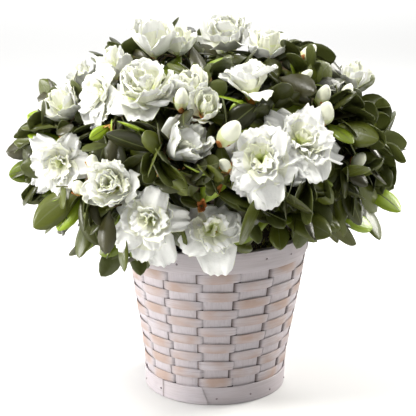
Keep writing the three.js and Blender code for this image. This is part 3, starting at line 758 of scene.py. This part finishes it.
def massStart(name, az, el):
    if name == "top":
        return trunkAxis(stem["top"]), upward.copy()
    fork = np.array([stem["startX"], 0, stem["forkHeight"]])
    middle = crownPoint(az, el, 1)
    start = fork + (middle - fork) * stem["boughShare"]
    return start, unit(middle - start)


def barkRelief(scale, depth):
    # ridges that run along the limb
    def relief(centre, u, v, r):
        out = []
        for turn, radius in zip(evenTurns(len(r)), r):
            p = centre + around(u, v, turn) * radius
            ridge = noise.noise(Vector((p[0] * scale, p[1] * scale, p[2] * scale * 0.3)))
            knob = noise.noise(Vector(p * scale * 0.35))
            out.append(radius * (1 + depth * ridge + depth * 0.8 * knob))
        return np.array(out)
    return relief


trunkHeap = Heap()
trunkHeights = np.concatenate([np.linspace(stem["foot"] + 0.2, 156, 14), np.linspace(158, stem["top"], 34)])


def trunkRelief(centre, u, v, r):
    # three low lobes at the foot, under the same bark
    ribs = np.array([math.atan2(*around(u, v, turn)[[1, 0]]) for turn in evenTurns(len(r))])
    flare = 1 + 0.16 * np.cos(ribs * 3 + 0.6) * max(0, (155 - centre[2]) / 8)
    return barkRelief(0.32, 0.11)(centre, u, v, r * flare)


trunkPath, trunkRadii = [trunkAxis(z) for z in trunkHeights], [trunkRadius(z) for z in trunkHeights]
addTube(trunkHeap, trunkPath, trunkRadii, 40, [0], trunkRelief)
trunkHeap.build("trunk_bark", [bark], "bark", ["trunk"])

boughHeap = Heap()
boughNodes = []
for name, az, el, height in masses:
    if name == "top":  # it grows from the tip of the trunk
        continue
    end, along = massStart(name, az, el)
    out = bearing(az, 0)
    root = trunkAxis(height) + out * (trunkRadius(height) + 0.55)
    reach = np.linalg.norm(end - root)
    leaving, arriving = root + out * reach * 0.35, end - along * reach * 0.3
    path = bezier([root, leaving, arriving, end], np.linspace(0, 1, 27))
    path = np.concatenate([[root - out * 3.5, root - out * 1.2], path[1:]])
    share = np.linspace(0, 1, len(path))
    radii = stem["boughRadius"] + (stem["boughTipRadius"] - stem["boughRadius"]) * share
    radii[:3] *= [1.5, 1.25, 1.08]  # it widens into the trunk
    addTube(boughHeap, path, radii, 12, [0], barkRelief(0.5, 0.13))
    boughNodes.append("bough_" + name)
boughHeap.build("bough_bark", [bark], "bark", boughNodes)
print("limbs made")

leaf = {"length": 54, "width": 28, "thickness": 0.4, "droop": 0.12, "bow": 0.04, "fold": 0.16, "roll": 0.3}
# blooms seen from the front: azimuth, elevation, size, flower, the way it faces, and its reach
openShoots = [
    (-27.8, 40.3, 68, "ball", -12, 66), (-64, 68.5, 50, "tulip", -30, 78),
    (-51.4, 40.7, 62, "double", -52, 14), (-59.8, 6.5, 64, "double", -12, 12),
    (-32.5, 0.9, 48, "rose", -14, 24), (-20.2, -21.5, 70, "double", -10, 18),
    (1.3, -32, 64, "semi", 8, 34), (32.1, 17.8, 70, "ruffled", 16, 46), (17.3, 12, 70, "ruffled", -4, 26),
    (138.7, 78.7, 60, "rose", -15, 58),
]
halfShoots = [
    (-45.6, 74.9, 34, "tulip", -10, 80), (-64.9, 52.2, 36, "tulip", -70, 74),
    (-74.1, 26.7, 42, "tulip", -40, 56), (-12, 16.4, 50, "tulip", 52, 40),
    (-7.9, 43.4, 38, "tulip", -20, 60), (-1.6, 34.6, 34, "tulip", 14, 50),
    (19.6, 41.5, 58, "trumpet", -30, 80), (65.4, 67.3, 38, "tulip", 30, 70),
    (86, 36, 34, "tulip", 20, 74, 0.95),
]
budShoots = [
    (-39.4, 9.4, 15), (-44.9, -4.7, 17), (4.3, 21.5, 24), (-10.5, 36.1, 18), (71.6, 55.7, 18),
    (48.4, 46.7, 13), (48.3, 35.2, 18), (44.7, 27.2, 22), (5.7, 11.1, 14), (80, 17, 12), (54.3, 6.7, 17),
]
# leafy shoots: azimuth, elevation, and how far the rosette turns up where that isn't as usual
leafyShoots = [
    (-33, -11, -0.35), (-73, 25), (-63, 15), (-1, 49), (65, 17), (52, -28), (19, -2, -0.55), (51, 0),
    (55, 45), (13, 59), (-17, 21), (33, 1), (-57, -10), (-8, 6, -0.5), (8, 29), (-26, -29, -0.3),
    (26, -24), (-75, 2), (150, 58), (-110, 60), (95, 62), (-172, 74), (-56, -30), (-48, -45), (-28, -46),
    (62, -38), (72, -12), (78, -20), (80, 8), (-86, 17), (-86, -4), (4, 4), (-17, 10),
]
spread = {"shoots": 88, "clear": 13.5, "seed": 294, "open": 0.34, "half": 0.54, "bud": 0.7}
shootKinds = {  # share of the crown that the tip reaches, the source's leaves, smaller ones round the tip
    "open": (0.86, 4, 3), "half": (0.84, 3, 3), "bud": (0.9, 4, 4), "leafy": (0.84, 6, 4),
}
goldenTurn = 137.508


def listShoots():
    shoots = []
    massWays = np.array([bearing(az, el) for _, az, el, _ in masses])

    def addShoot(az, el, kind, size=0, *special, **given):
        # special is how far a leafy rosette turns up, or how far another shoot reaches
        way = bearing(az, el)
        if special:
            given["turnUp" if kind == "leafy" else "reach"] = special[0]
        shoots.append({
            "az": az, "el": el, "kind": kind, "size": size, "way": way, "seed": 101 + len(shoots) * 7,
            "mass": int(np.argmax(massWays @ way)), **given,
        })

    for kind, rows in (("open", openShoots), ("half", halfShoots)):
        for az, el, size, flower, faceAz, faceEl, *reach in rows:
            addShoot(az, el, kind, size, *reach, flower=flower, facing=bearing(faceAz, faceEl), seen=True)
    for az, el, size in budShoots:
        addShoot(az, el, "bud", size, seen=True)
    for az, el, *turnUp in leafyShoots:
        addShoot(az, el, "leafy", 0, *turnUp)
    listed = np.array([shoot["way"] for shoot in shoots])
    random = makeRandom(spread["seed"])
    for i in range(spread["shoots"]):
        el = math.degrees(math.asin(-0.46 + 1.42 * (i + 0.5) / spread["shoots"]))
        az = (i * goldenTurn) % 360 - 180
        draw, scale = random(), random()
        if (listed @ bearing(az, el)).max() > math.cos(math.radians(spread["clear"])):
            continue
        front = abs(az) < 95 and el < 75
        if draw < spread["open"] and not front:
            addShoot(az, el, "open", 56 + 12 * scale)
        elif draw < spread["half"] and not front:
            addShoot(az, el, "half", 34 + 14 * scale)
        elif draw < spread["bud"]:
            addShoot(az, el, "bud", 14 + 4 * scale)
        else:
            addShoot(az, el, "leafy")
    return shoots


twigHeap = Heap()
brown, green = 0, 1
twigRadii = {"stem": (2.15, 1.5), "shoot": (1.35, 0.95), "side": (0.85, 0.6)}


def growTwig(shoot, nodes):
    random = makeRandom(shoot["seed"])
    reach = shoot.get("reach", shootKinds[shoot["kind"]][0])
    tip = crownPoint(shoot["az"], shoot["el"], reach)
    at, nodeAlong = min(nodes, key=lambda n: np.linalg.norm(n[0] - tip))
    start = at - nodeAlong * 2.5
    length = np.linalg.norm(tip - start)
    bend = start + (tip - start) * 0.55
    bend = bend + np.array([(random() - 0.5) * 0.12 * length, (random() - 0.5) * 0.12 * length, 0])
    bend[2] += random() * 0.07 * length
    along = unit(tip - bend)
    random()  # the source turns the sides of its twig by this draw
    return {"start": start, "bend": bend, "tip": tip, "along": along, "random": random}


def backOnTwig(twig, distance):
    # the point on a twig at a distance back from its tip
    last = np.linalg.norm(twig["bend"] - twig["tip"])
    if distance < last:
        return twig["tip"] - twig["along"] * distance
    rest = min((distance - last) / np.linalg.norm(twig["start"] - twig["bend"]), 0.9)
    return twig["bend"] + (twig["start"] - twig["bend"]) * rest


def addTwig(start, bend, tip, kind):
    before, after = start + (bend - start) * 0.7, bend + (tip - bend) * 0.25
    path = bezier([start, before, after, tip], np.linspace(0, 1, 10))
    radii = np.linspace(*twigRadii[kind], len(path))
    radii[::3] *= 1.12  # leaf joints
    addTube(twigHeap, path, radii, 6, [brown] * 6 + [green] * 4)


# places taken by blooms, which leaves keep out of: middle, axis, radius across and half height
taken = []
clear = []  # and the space in front of the blooms that are seen best: middle, way to the viewer, radius
bare = {  # how deep that space is, and the part of the wall and the rim that leaves don't cover
    "depth": 110, "wall": 0.0045, "rim": 157, "left": -56, "right": 84, "front": -60, "frontTop": 158,
    "end": 160, "endBack": 20, "endTop": 153,
}


def alongAndBeside(points, axis):
    height = points @ axis
    return height, np.linalg.norm(points - np.outer(height, axis), axis=1)


def isTaken(points):
    for middle, axis, wide, tall in taken:
        height, beside = alongAndBeside(points - middle, axis)
        if ((beside / wide) ** 2 + (height / tall) ** 2 < 1).any():
            return True
    for middle, way, wide in clear:
        height, beside = alongAndBeside(points - middle, way)
        if ((beside < wide) & (height > 0) & (height < bare["depth"])).any():
            return True
    x, y, z = points.T
    wall = wallRadius(np.clip(z * mm, 0, basket["height"])) + bare["wall"]
    inside = (z < bare["rim"]) & (np.hypot(x, y) * mm < wall)
    front = (x > bare["left"]) & (x < bare["right"]) & (y < bare["front"])
    front &= z < bare["frontTop"] + np.maximum(-y - 88, 0) * 0.3
    end = (x >= bare["right"]) & (x < bare["end"]) & (y < bare["endBack"]) & (z < bare["endTop"])
    return bool((inside | front | end).any())


boxMargin = 0.4
boxLow, boxHigh = np.array(cadBox) / mm + [[boxMargin], [-boxMargin]]


def keepInside(points):
    # a leaf or petal that would pass the crown's furthest reach is moved in a little
    flat = points.reshape(-1, 3)
    return points - np.maximum(flat.max(0) - boxHigh, 0) + np.maximum(boxLow - flat.min(0), 0)


leafHeaps = {"leaves_outer_1": Heap(), "leaves_outer_2": Heap(), "leaves_inner": Heap()}
fineRows = np.array([0, 0.07, 0.15, 0.25, 0.37, 0.5, 0.63, 0.75, 0.85, 0.92, 0.97, 1.0])
fineColumns = np.array([-1, -0.52, -0.06, 0.06, 0.52, 1])
coarseRows = np.array([0, 0.1, 0.25, 0.45, 0.65, 0.82, 0.94, 1.0])
coarseColumns = np.array([-1, 0, 1.0])


def leafHalfWidth(s):
    # elliptic, widest a little past the middle, with a short stalk and a blunt tip
    t = np.clip((s - 0.05) / 0.95, 0, 1)
    return np.sin(math.pi * t ** 1.3) ** 0.64


def leafGrid(root, way, face, length, width, droop, rows, columns, twist):
    side = unit(np.cross(way, face))
    side = unit(around(side, np.cross(side, way), twist))
    top = np.cross(side, way)
    s, t = gridShares(rows, columns)
    half = np.maximum(leafHalfWidth(rows) * width / 2, np.where(rows < 0.5, 0.7, 0.25))[:, None, None]
    middle = root + way * (s * length * (1 - 0.06 * s)) + top * (leaf["bow"] * length * 4 * s * (1 - s))
    middle = middle - upward * (droop * length * s * s)
    lift = half * (leaf["fold"] * np.abs(t) - leaf["roll"] * t * t)
    return middle + side * (t * half) + top * lift


def addLeaf(root, way, face, long, wide, tone, droop, fine, random):
    rows, columns = (fineRows, fineColumns) if fine else (coarseRows, coarseColumns)
    size = (leaf["length"] * long, leaf["width"] * wide)
    grid = leafGrid(root, way, face, *size, droop, rows, columns, (random() - 0.5) * 0.7)
    probe = grid[[len(rows) // 3, len(rows) // 2, -2, -1]].reshape(-1, 3)
    if isTaken(probe) or not inCrown(grid[-1, 0]):
        return False
    grid = keepInside(grid)
    upper = np.full((len(rows) - 1, len(columns) - 1), leafTones[tone])
    lower = np.full(upper.shape, leafTones["leafUnder"])
    name = "leaves_inner"
    if fine:
        upper[:, 2] = leafTones["leafRib"]
        name = "leaves_outer_1" if root[1] < 0 else "leaves_outer_2"
    addSheet(leafHeaps[name], grid, leaf["thickness"], upper, lower)
    return True


def leafTone(draw, young, low=0.0):
    # painted light: the sprays low on the crown are dealt lighter, greener tones for the light they catch from the
    # table
    if young:
        return "leafYoung" if draw < 0.55 else "leafOlive"
    draw += low * 0.5
    for limit, tone in ((0.30, "leafDeep"), (0.64, "leafDark"), (0.86, "leafMid"), (0.97, "leafOlive")):
        if draw < limit:
            return tone
    return "leafYoung"


def leafWay(along, out, angle):
    way = around(along, out, math.radians(angle))
    way[2] -= 0.08
    return unit(way)


def growLeaves(shoot, twig):
    # the source's leaves, each in the first free place, then smaller ones round the tip
    random = twig["random"]
    extra = makeRandom(shoot["seed"] + 5000)
    along = twig["along"]
    leafy = shoot["kind"] == "leafy"
    _, count, small = shootKinds[shoot["kind"]]
    # how low the shoot sits: its rosette turns up more, and its leaves get the painted light of the low sprays
    low = float(np.clip(-shoot["way"][2] * 3, 0, 1))
    rosette = unit(along + upward * shoot.get("turnUp", 0.25 + 0.5 * low))  # shoots turn up to the light
    u, v = across(rosette)
    spin = random() * 360
    face = unit(rosette * 0.8 + shoot["way"] * 0.15 + upward * 0.3)
    for k in range(count):
        angle = 88 - 7 * k if leafy else 82 + 14 * random()
        root = backOnTwig(twig, 1.2 + 3.4 * (count - 1 - k) if leafy else 7 + 4.5 * k)
        size = 0.84 + 0.34 * random()
        tone = leafTone(extra(), leafy and k == count - 1 and extra() < 0.4, low)
        droop = leaf["droop"] * (0.4 + 1.2 * extra())
        for turned in (0, 45, -45, 90):
            way = leafWay(rosette, around(u, v, math.radians(spin + k * goldenTurn + turned)), angle)
            if addLeaf(root, way, face, size * 0.94, size * 0.9, tone, droop, True, extra):
                break
    for k in range(small):
        out = around(u, v, math.radians(spin + (count + k) * goldenTurn + 60))
        if leafy:
            angle, back, size = 62 - 9 * k, 0.8 * (4 - k), 0.72 - 0.09 * k
            tone = leafTone(extra(), k > 1 and shoot["seed"] % 3 != 0)
        else:
            angle, back, size = 70 + 30 * extra(), 5 + 7 * k, 0.62 + 0.3 * extra()
            tone = leafTone(extra(), False, low)
        way = leafWay(rosette, out, angle)
        addLeaf(backOnTwig(twig, back), way, face, size, size * 0.88, tone, 0.08, True, extra)


def growSideTwigs(shoot, twig):
    # finer twigs than the source has, each ending in a few leaves inside the crown
    random = makeRandom(shoot["seed"] + 9000)
    if shoot["way"][2] < -0.3 and abs(shoot["way"][0]) > 0.55:  # the low sprays at the sides are open
        return
    for i in range(3):
        share = (0.25, 0.55, 0.85)[i] + 0.12 * random()
        base = twig["start"] + (twig["bend"] - twig["start"]) * min(share * 2, 1)
        if share > 0.5:
            base = twig["bend"] + (twig["tip"] - twig["bend"]) * (share - 0.5)
        out = around(*across(twig["along"]), random() * 2 * math.pi)
        way = unit(twig["along"] * (0.5 + 0.4 * random()) + out * 0.8)
        length = 16 + 18 * random()
        tip = base + way * length
        if not inCrown(tip + way * 25) or isTaken(tip[None, :]):
            continue
        addTwig(base - way * 0.5, base + way * length * 0.5 + upward * 1.5, tip, "side")
        u, v = across(way)
        spin = random() * 360
        for k in range(5):
            size = 0.6 + 0.3 * random()
            tone = ("leafAged", "leafDark", "leafMid")[int(random() * 3)]
            root = tip - way * (0.5 + 2.2 * k)
            wayOut = leafWay(way, around(u, v, math.radians(spin + k * goldenTurn)), 50 + 12 * k)
            addLeaf(root, wayOut, way, size, size * 0.9, tone, 0.1, False, random)


ivory, pale, throat = 1, 2, 3  # petal materials by number; 0 is white
# each flower: where its body sits (height, half width and half height as shares of its size), how its
# petals sag, and its whorls: petals, line from the root as (out, up), half width, cup, ruffle
flowers = {
    "double": {"body": (0.22, 0.42, 0.20), "sag": 0.07, "whorls": [
        (5, [(0.02, 0.00), (0.05, 0.18), (0.25, 0.25), (0.52, 0.17)], 0.185, 0.08, 0.050),
        (5, [(0.02, 0.03), (0.10, 0.13), (0.23, 0.20), (0.36, 0.30)], 0.185, 0.30, 0.046),
        (5, [(0.02, 0.05), (0.07, 0.15), (0.15, 0.24), (0.25, 0.35)], 0.150, 0.35, 0.040),
        (5, [(0.01, 0.06), (0.04, 0.15), (0.08, 0.25), (0.15, 0.36)], 0.110, 0.40, 0.034),
        (3, [(0.01, 0.06), (0.02, 0.15), (0.03, 0.24), (0.05, 0.33)], 0.070, 0.40, 0.026),
    ]},
    "ball": {"body": (0.27, 0.42, 0.26), "sag": 0.10, "whorls": [
        (5, [(0.02, 0.00), (0.06, 0.08), (0.26, 0.15), (0.52, 0.06)], 0.235, 0.05, 0.054),
        (5, [(0.03, 0.02), (0.18, 0.06), (0.34, 0.22), (0.36, 0.46)], 0.240, 0.40, 0.048),
        (5, [(0.02, 0.04), (0.13, 0.12), (0.24, 0.30), (0.26, 0.54)], 0.200, 0.42, 0.044),
        (5, [(0.02, 0.06), (0.08, 0.16), (0.15, 0.34), (0.17, 0.56)], 0.150, 0.42, 0.040),
        (4, [(0.01, 0.08), (0.03, 0.18), (0.06, 0.36), (0.08, 0.54)], 0.100, 0.42, 0.032),
    ]},
    "ruffled": {"body": (0.25, 0.45, 0.20), "sag": 0.05, "whorls": [
        (5, [(0.02, 0.00), (0.05, 0.18), (0.26, 0.26), (0.52, 0.18)], 0.225, 0.06, 0.066),
        (6, [(0.02, 0.02), (0.06, 0.19), (0.22, 0.28), (0.43, 0.28)], 0.200, 0.10, 0.068),
        (5, [(0.02, 0.03), (0.07, 0.18), (0.19, 0.29), (0.33, 0.37)], 0.180, 0.18, 0.062),
        (5, [(0.01, 0.05), (0.04, 0.18), (0.11, 0.30), (0.21, 0.42)], 0.145, 0.22, 0.054),
        (4, [(0.01, 0.06), (0.02, 0.18), (0.05, 0.30), (0.10, 0.43)], 0.100, 0.30, 0.040),
    ]},
    "semi": {"body": (0.20, 0.42, 0.20), "sag": 0.13, "whorls": [
        (5, [(0.02, 0.00), (0.06, 0.19), (0.26, 0.25), (0.46, 0.14)], 0.250, 0.06, 0.070),
        (4, [(0.02, 0.03), (0.10, 0.14), (0.21, 0.23), (0.32, 0.34)], 0.165, 0.30, 0.046),
        (4, [(0.02, 0.05), (0.06, 0.15), (0.13, 0.26), (0.21, 0.38)], 0.130, 0.35, 0.040),
        (3, [(0.01, 0.06), (0.03, 0.15), (0.06, 0.26), (0.10, 0.38)], 0.095, 0.38, 0.032),
    ]},
    "rose": {"body": (0.34, 0.38, 0.36), "sag": 0.04, "whorls": [
        (5, [(0.03, 0.00), (0.21, 0.04), (0.40, 0.22), (0.49, 0.46)], 0.270, 0.26, 0.048),
        (5, [(0.03, 0.02), (0.16, 0.08), (0.31, 0.28), (0.37, 0.54)], 0.235, 0.36, 0.044),
        (5, [(0.02, 0.05), (0.11, 0.12), (0.21, 0.34), (0.25, 0.60)], 0.190, 0.42, 0.040),
        (4, [(0.02, 0.08), (0.07, 0.16), (0.12, 0.36), (0.15, 0.60)], 0.140, 0.45, 0.034),
        (3, [(0.01, 0.10), (0.03, 0.20), (0.05, 0.38), (0.06, 0.58)], 0.095, 0.45, 0.026),
    ]},
    "tulip": {"body": (0.38, 0.34, 0.38), "sag": 0.03, "whorls": [
        (4, [(0.03, 0.00), (0.20, 0.06), (0.34, 0.34), (0.42, 0.66)], 0.290, 0.34, 0.046),
        (4, [(0.03, 0.02), (0.15, 0.10), (0.28, 0.40), (0.30, 0.76)], 0.250, 0.42, 0.042),
        (4, [(0.02, 0.05), (0.10, 0.14), (0.19, 0.44), (0.19, 0.80)], 0.190, 0.46, 0.036),
        (3, [(0.01, 0.10), (0.05, 0.20), (0.09, 0.46), (0.08, 0.78)], 0.130, 0.46, 0.028),
    ]},
    "trumpet": {"body": (0.34, 0.34, 0.30), "sag": 0.05, "whorls": [
        (5, [(0.02, 0.00), (0.06, 0.24), (0.20, 0.42), (0.50, 0.46)], 0.215, 0.14, 0.054),
        (4, [(0.02, 0.03), (0.07, 0.22), (0.18, 0.44), (0.30, 0.66)], 0.230, 0.26, 0.050),
        (4, [(0.02, 0.05), (0.05, 0.22), (0.11, 0.44), (0.15, 0.68)], 0.170, 0.36, 0.040),
        (3, [(0.01, 0.08), (0.03, 0.22), (0.05, 0.42), (0.05, 0.62)], 0.110, 0.40, 0.030),
    ]},
}
petalPieces = ("blooms_front", "blooms_back", "half_open_front", "half_open_back", "flower_buds")
petalHeaps = {name: Heap() for name in petalPieces}
petalRows = np.array([0, 0.14, 0.28, 0.42, 0.55, 0.67, 0.78, 0.87, 0.94, 1.0])
petalColumns = [np.linspace(-1, 1, n) for n in (23, 19, 15, 11, 9)]
petalThickness = 0.3
# where throat, pale and ivory end along a petal: the outer whorl, those between, and the inner one
zoneEnds = ((0, 0.24, 0.36), (0.24, 0.42, 0.8), (0.46, 0.68, 1))


def petalGrid(root, facing, u, v, turn, whorl, size, sag, columns, random):
    # one petal: its line from root to tip, then its width, cup, ruffled edge and frill
    _, line, halfWidth, cup, ruffle = whorl
    line = np.array(line) * [0.88 + 0.24 * random(), 0.92 + 0.16 * random()]
    tilt = (random() - 0.45) * 0.6
    line = line @ np.array([[math.cos(tilt), -math.sin(tilt)], [math.sin(tilt), math.cos(tilt)]])
    curve = bezier(line, petalRows) * size
    slope = np.gradient(curve, petalRows, axis=0)
    slope /= np.linalg.norm(slope, axis=1, keepdims=True)
    radial = around(u, v, turn)
    side = np.cross(radial, facing)
    centre = root + curve[:, :1] * radial + curve[:, 1:] * facing
    tangent = slope[:, :1] * radial + slope[:, 1:] * facing
    normal = -slope[:, 1:] * radial + slope[:, :1] * facing
    s, t = gridShares(petalRows, columns)
    w = 0.14 + 0.86 * np.clip(s / 0.66, 0, 1) ** 1.2
    w = w * (1 - 0.16 * np.clip((s - 0.7) / 0.3, 0, 1) ** 2) * halfWidth * size * (0.9 + 0.26 * random())
    phase, waves, lean = random() * 6.3, 1.6 + 1.4 * random(), (random() - 0.5) * 0.5
    edge = 0.45 * s ** 3 + 0.7 * s * t ** 4
    swell = np.sin(waves * t * math.pi + phase + 2.5 * s)
    frill = s ** 8 * 0.5 + s * t ** 8 * 0.4
    crimp = np.sin(4.1 * t * math.pi + 2 * phase + 4 * s)
    crimp = crimp + 0.3 * np.sin(6.3 * t * math.pi + phase + 7 * s)
    bulge = np.sin(2.2 * s * math.pi + phase) * 0.06 * size * s * (1 - t * t) * halfWidth * 3
    lift = cup * t * t * w * (1.25 - 0.75 * s) + lean * t * w + bulge
    lift = lift + ruffle * size * (edge * swell + 0.5 * frill * crimp)
    rounding = w * 0.85 * (1 - np.sqrt(1 - 0.94 * t * t)) * s ** 2.5
    back = 0.010 * size * s ** 8 * np.sin(4.9 * t * math.pi + phase) - rounding
    sideways = 1 + 0.05 * s * np.sin(9 * s + phase) * np.abs(t)
    grid = centre[:, None] + side * (t * w * sideways) + normal[:, None] * lift + tangent[:, None] * back
    return grid - upward * (sag * size * s ** 2 * (0.5 + max(0, -radial[2])))


def addBloom(heap, root, facing, size, flower, random):
    u, v = across(facing)
    spin = random() * 6
    share = (petalRows[:-1] + petalRows[1:]) / 2
    whorls = flower["whorls"][:5 if size > 45 else 3]  # the small ones are still closed
    for level, whorl in enumerate(whorls):
        columns = petalColumns[level]
        ends = zoneEnds[(level > 0) + (level == len(whorls) - 1)]
        zone = throat - np.searchsorted(ends, share, side="right")
        zone = np.repeat(zone[:, None], len(columns) - 1, 1)
        lower = np.where(zone == throat, pale, zone)
        for k in range(whorl[0]):
            turn = spin + 2 * math.pi * (k + 0.5 * (level % 2)) / whorl[0] + (random() - 0.5) * 0.4
            grid = petalGrid(root, facing, u, v, turn, whorl, size, flower["sag"], columns, random)
            addSheet(heap, keepInside(grid), petalThickness, zone, lower)


budHeap = Heap()
rust, tan, greenScale = range(3)


def addBudScales(root, facing, size, count, random):
    # small pointed scales clasping the foot of a bud
    u, v = across(facing)
    rows, columns = np.linspace(0, 1, 5), np.linspace(-1, 1, 4)
    for k in range(count):
        radial = around(u, v, random() * 0.8 + 2 * math.pi * k / count)
        side = np.cross(radial, facing)
        length = size * (0.8 + 0.4 * random())
        spreadOut = 0.25 + 0.35 * random()
        s, t = gridShares(rows, columns)
        half = (np.sin(math.pi * np.clip(rows * 0.9 + 0.08, 0, 1)) * length * 0.24 + 0.15)[:, None, None]
        out = size * 0.12 + length * spreadOut * s + 0.2 * length * s * (1 - s) - t * t * half * 0.4
        grid = root + radial * out + facing * (s * length * 0.9) + side * (t * half)
        tone = np.full((4, 3), (rust, tan, rust, greenScale)[int(random() * 4)])
        addSheet(budHeap, keepInside(grid), petalThickness, tone, tone)


def addFlowerBud(root, facing, size, random):
    # a furled bud: petals wrapped round it in a slow spiral, green at the foot
    u, v = across(facing)
    shares = np.linspace(0, 1, 12)
    steps = np.linspace(0, 1, 7)
    heights = np.interp(shares, steps, [0.0, 0.14, 0.34, 0.58, 0.81, 0.98, 1.06]) * size * 1.22
    radii = np.interp(shares, steps, [0.10, 0.25, 0.34, 0.34, 0.28, 0.17, 0.05]) * size
    turns = evenTurns(20)
    spin = random() * 6
    rings = []
    for share, height, radius in zip(shares, heights, radii):
        r = radius * (0.86 + 0.2 * np.abs(np.sin((turns * 3 + spin + share * 4.5) / 2)) ** 0.5)
        centre = root + facing * height + u * (0.04 * size * math.sin(share * 2))
        rings.append(ring(centre, u, v, r))
    tones = [throat] * 2 + [pale] * 3 + [ivory]
    addRings(petalHeaps["flower_buds"], keepInside(np.array(rings)), tones, flatEnds=False)


budBody = (0.6, 0.36, 0.62)  # as for a flower
bloomSink = 4  # how far a bloom's root lies back from the tip of its twig


def reserve(shoot, twig):
    middle, wide, tall = budBody if shoot["kind"] == "bud" else flowers[shoot["flower"]]["body"]
    size = shoot["size"]
    root = twig["tip"] - shoot["facing"] * bloomSink
    body = root + shoot["facing"] * middle * size
    taken.append((body, shoot["facing"], wide * size, tall * size))
    if "seen" in shoot:
        clear.append((body, unit(np.array(camera["place"]) / mm - body), wide * size * 0.8))


def turnToLight(shoot, twig):
    # blooms not given their own way lean up from the twig, each a little differently
    own = makeRandom(shoot["seed"] + 1700)
    drift = np.array([own() - 0.5, own() - 0.5, own() - 0.2]) * 0.7
    shoot["facing"] = unit(shoot["way"] * 0.7 + twig["along"] * 0.3 + upward * 0.25 + drift)
    if shoot["kind"] == "open":
        shoot["flower"] = ("double", "ruffled", "ball", "double", "semi")[int(own() * 5)]
    elif shoot["kind"] == "half":
        shoot["flower"] = ("rose", "tulip", "trumpet")[int(own() * 3)]


def growBloom(shoot, twig):
    if shoot["kind"] == "leafy":
        own = makeRandom(shoot["seed"] + 700)
        addBudScales(twig["tip"] - twig["along"], twig["along"], 9, 8, own)
        return
    facing = shoot["facing"]
    root = twig["tip"] - facing * bloomSink
    twig["random"]()  # the source turns its bloom by this draw
    own = makeRandom(shoot["seed"] + 300)
    size = shoot["size"]
    if shoot["kind"] == "bud":
        addFlowerBud(root, facing, size, own)
        addBudScales(root - facing * 1.5, facing, size * 0.7, 6, own)
        return
    side = "front" if root[1] < 20 else "back"
    heap = petalHeaps[("blooms_" if shoot["kind"] == "open" else "half_open_") + side]
    addBloom(heap, root, facing, size, flowers[shoot["flower"]], own)
    addBudScales(root - facing * 2, facing, min(size * 0.3, 12), 8, own)


hubs, twigNodes = [], []  # the end of each mass's stem, and the places on it where twigs can start
for name, az, el, _ in masses:
    start, along = massStart(name, az, el)
    middle = crownPoint(az, el, 0.5 if name == "top" else 0.62)
    root = start + along * 0.3
    hub = root + (middle - root) * 0.6
    hubWay = unit(hub - root)
    path = bezier([start - along * 1.5, start + along * 6, hub - hubWay * 6, hub], np.linspace(0, 1, 11))
    addTube(twigHeap, path, np.linspace(*twigRadii["stem"], len(path)), 8, [brown])
    hubs.append(hub)
    twigNodes.append([(hub, hubWay)])
shoots = listShoots()
shoots.sort(key=lambda s: np.linalg.norm(crownPoint(s["az"], s["el"], 0.85) - hubs[s["mass"]]))
grown = []
for shoot in shoots:
    nodes = twigNodes[shoot["mass"]]
    twig = growTwig(shoot, nodes)
    nodes.append((twig["bend"], twig["along"]))
    addTwig(twig["start"], twig["bend"], twig["tip"], "shoot")
    grown.append((shoot, twig))
grown.sort(key=lambda pair: pair[0]["seed"])
for shoot, twig in grown:
    if shoot["kind"] != "leafy":
        if "facing" not in shoot:
            turnToLight(shoot, twig)
        reserve(shoot, twig)
for shoot, twig in grown:
    growBloom(shoot, twig)
print("blooms grown")
for shoot, twig in grown:
    growLeaves(shoot, twig)
for shoot, twig in grown:
    growSideTwigs(shoot, twig)
print("leaves grown")

foliageNodes = ["foliage_" + name for name, *_ in masses]
twigHeap.build("twigs", twigMaterials, "bark", foliageNodes)
for heaps, materials in ((leafHeaps, leafMaterials), (petalHeaps, petalMaterials)):
    for name, heap in heaps.items():
        heap.build(name, materials, "foliage", foliageNodes)
budHeap.build("bud_scales", budMaterials, "foliage", foliageNodes)

ground = {"size": 60, "colour": (0.66, 0.66, 0.655, 1), "roughness": 0.6}
selectOnly()
bpy.ops.mesh.primitive_plane_add(size=ground["size"], location=(0, 0, 0))
floor = bpy.context.object
floor.name = "floor"
floorMaterial, _, floorShader = newMaterial("paleFloor", ground["roughness"])
floorShader.inputs["Base Color"].default_value = ground["colour"]
floor.data.materials.append(floorMaterial)
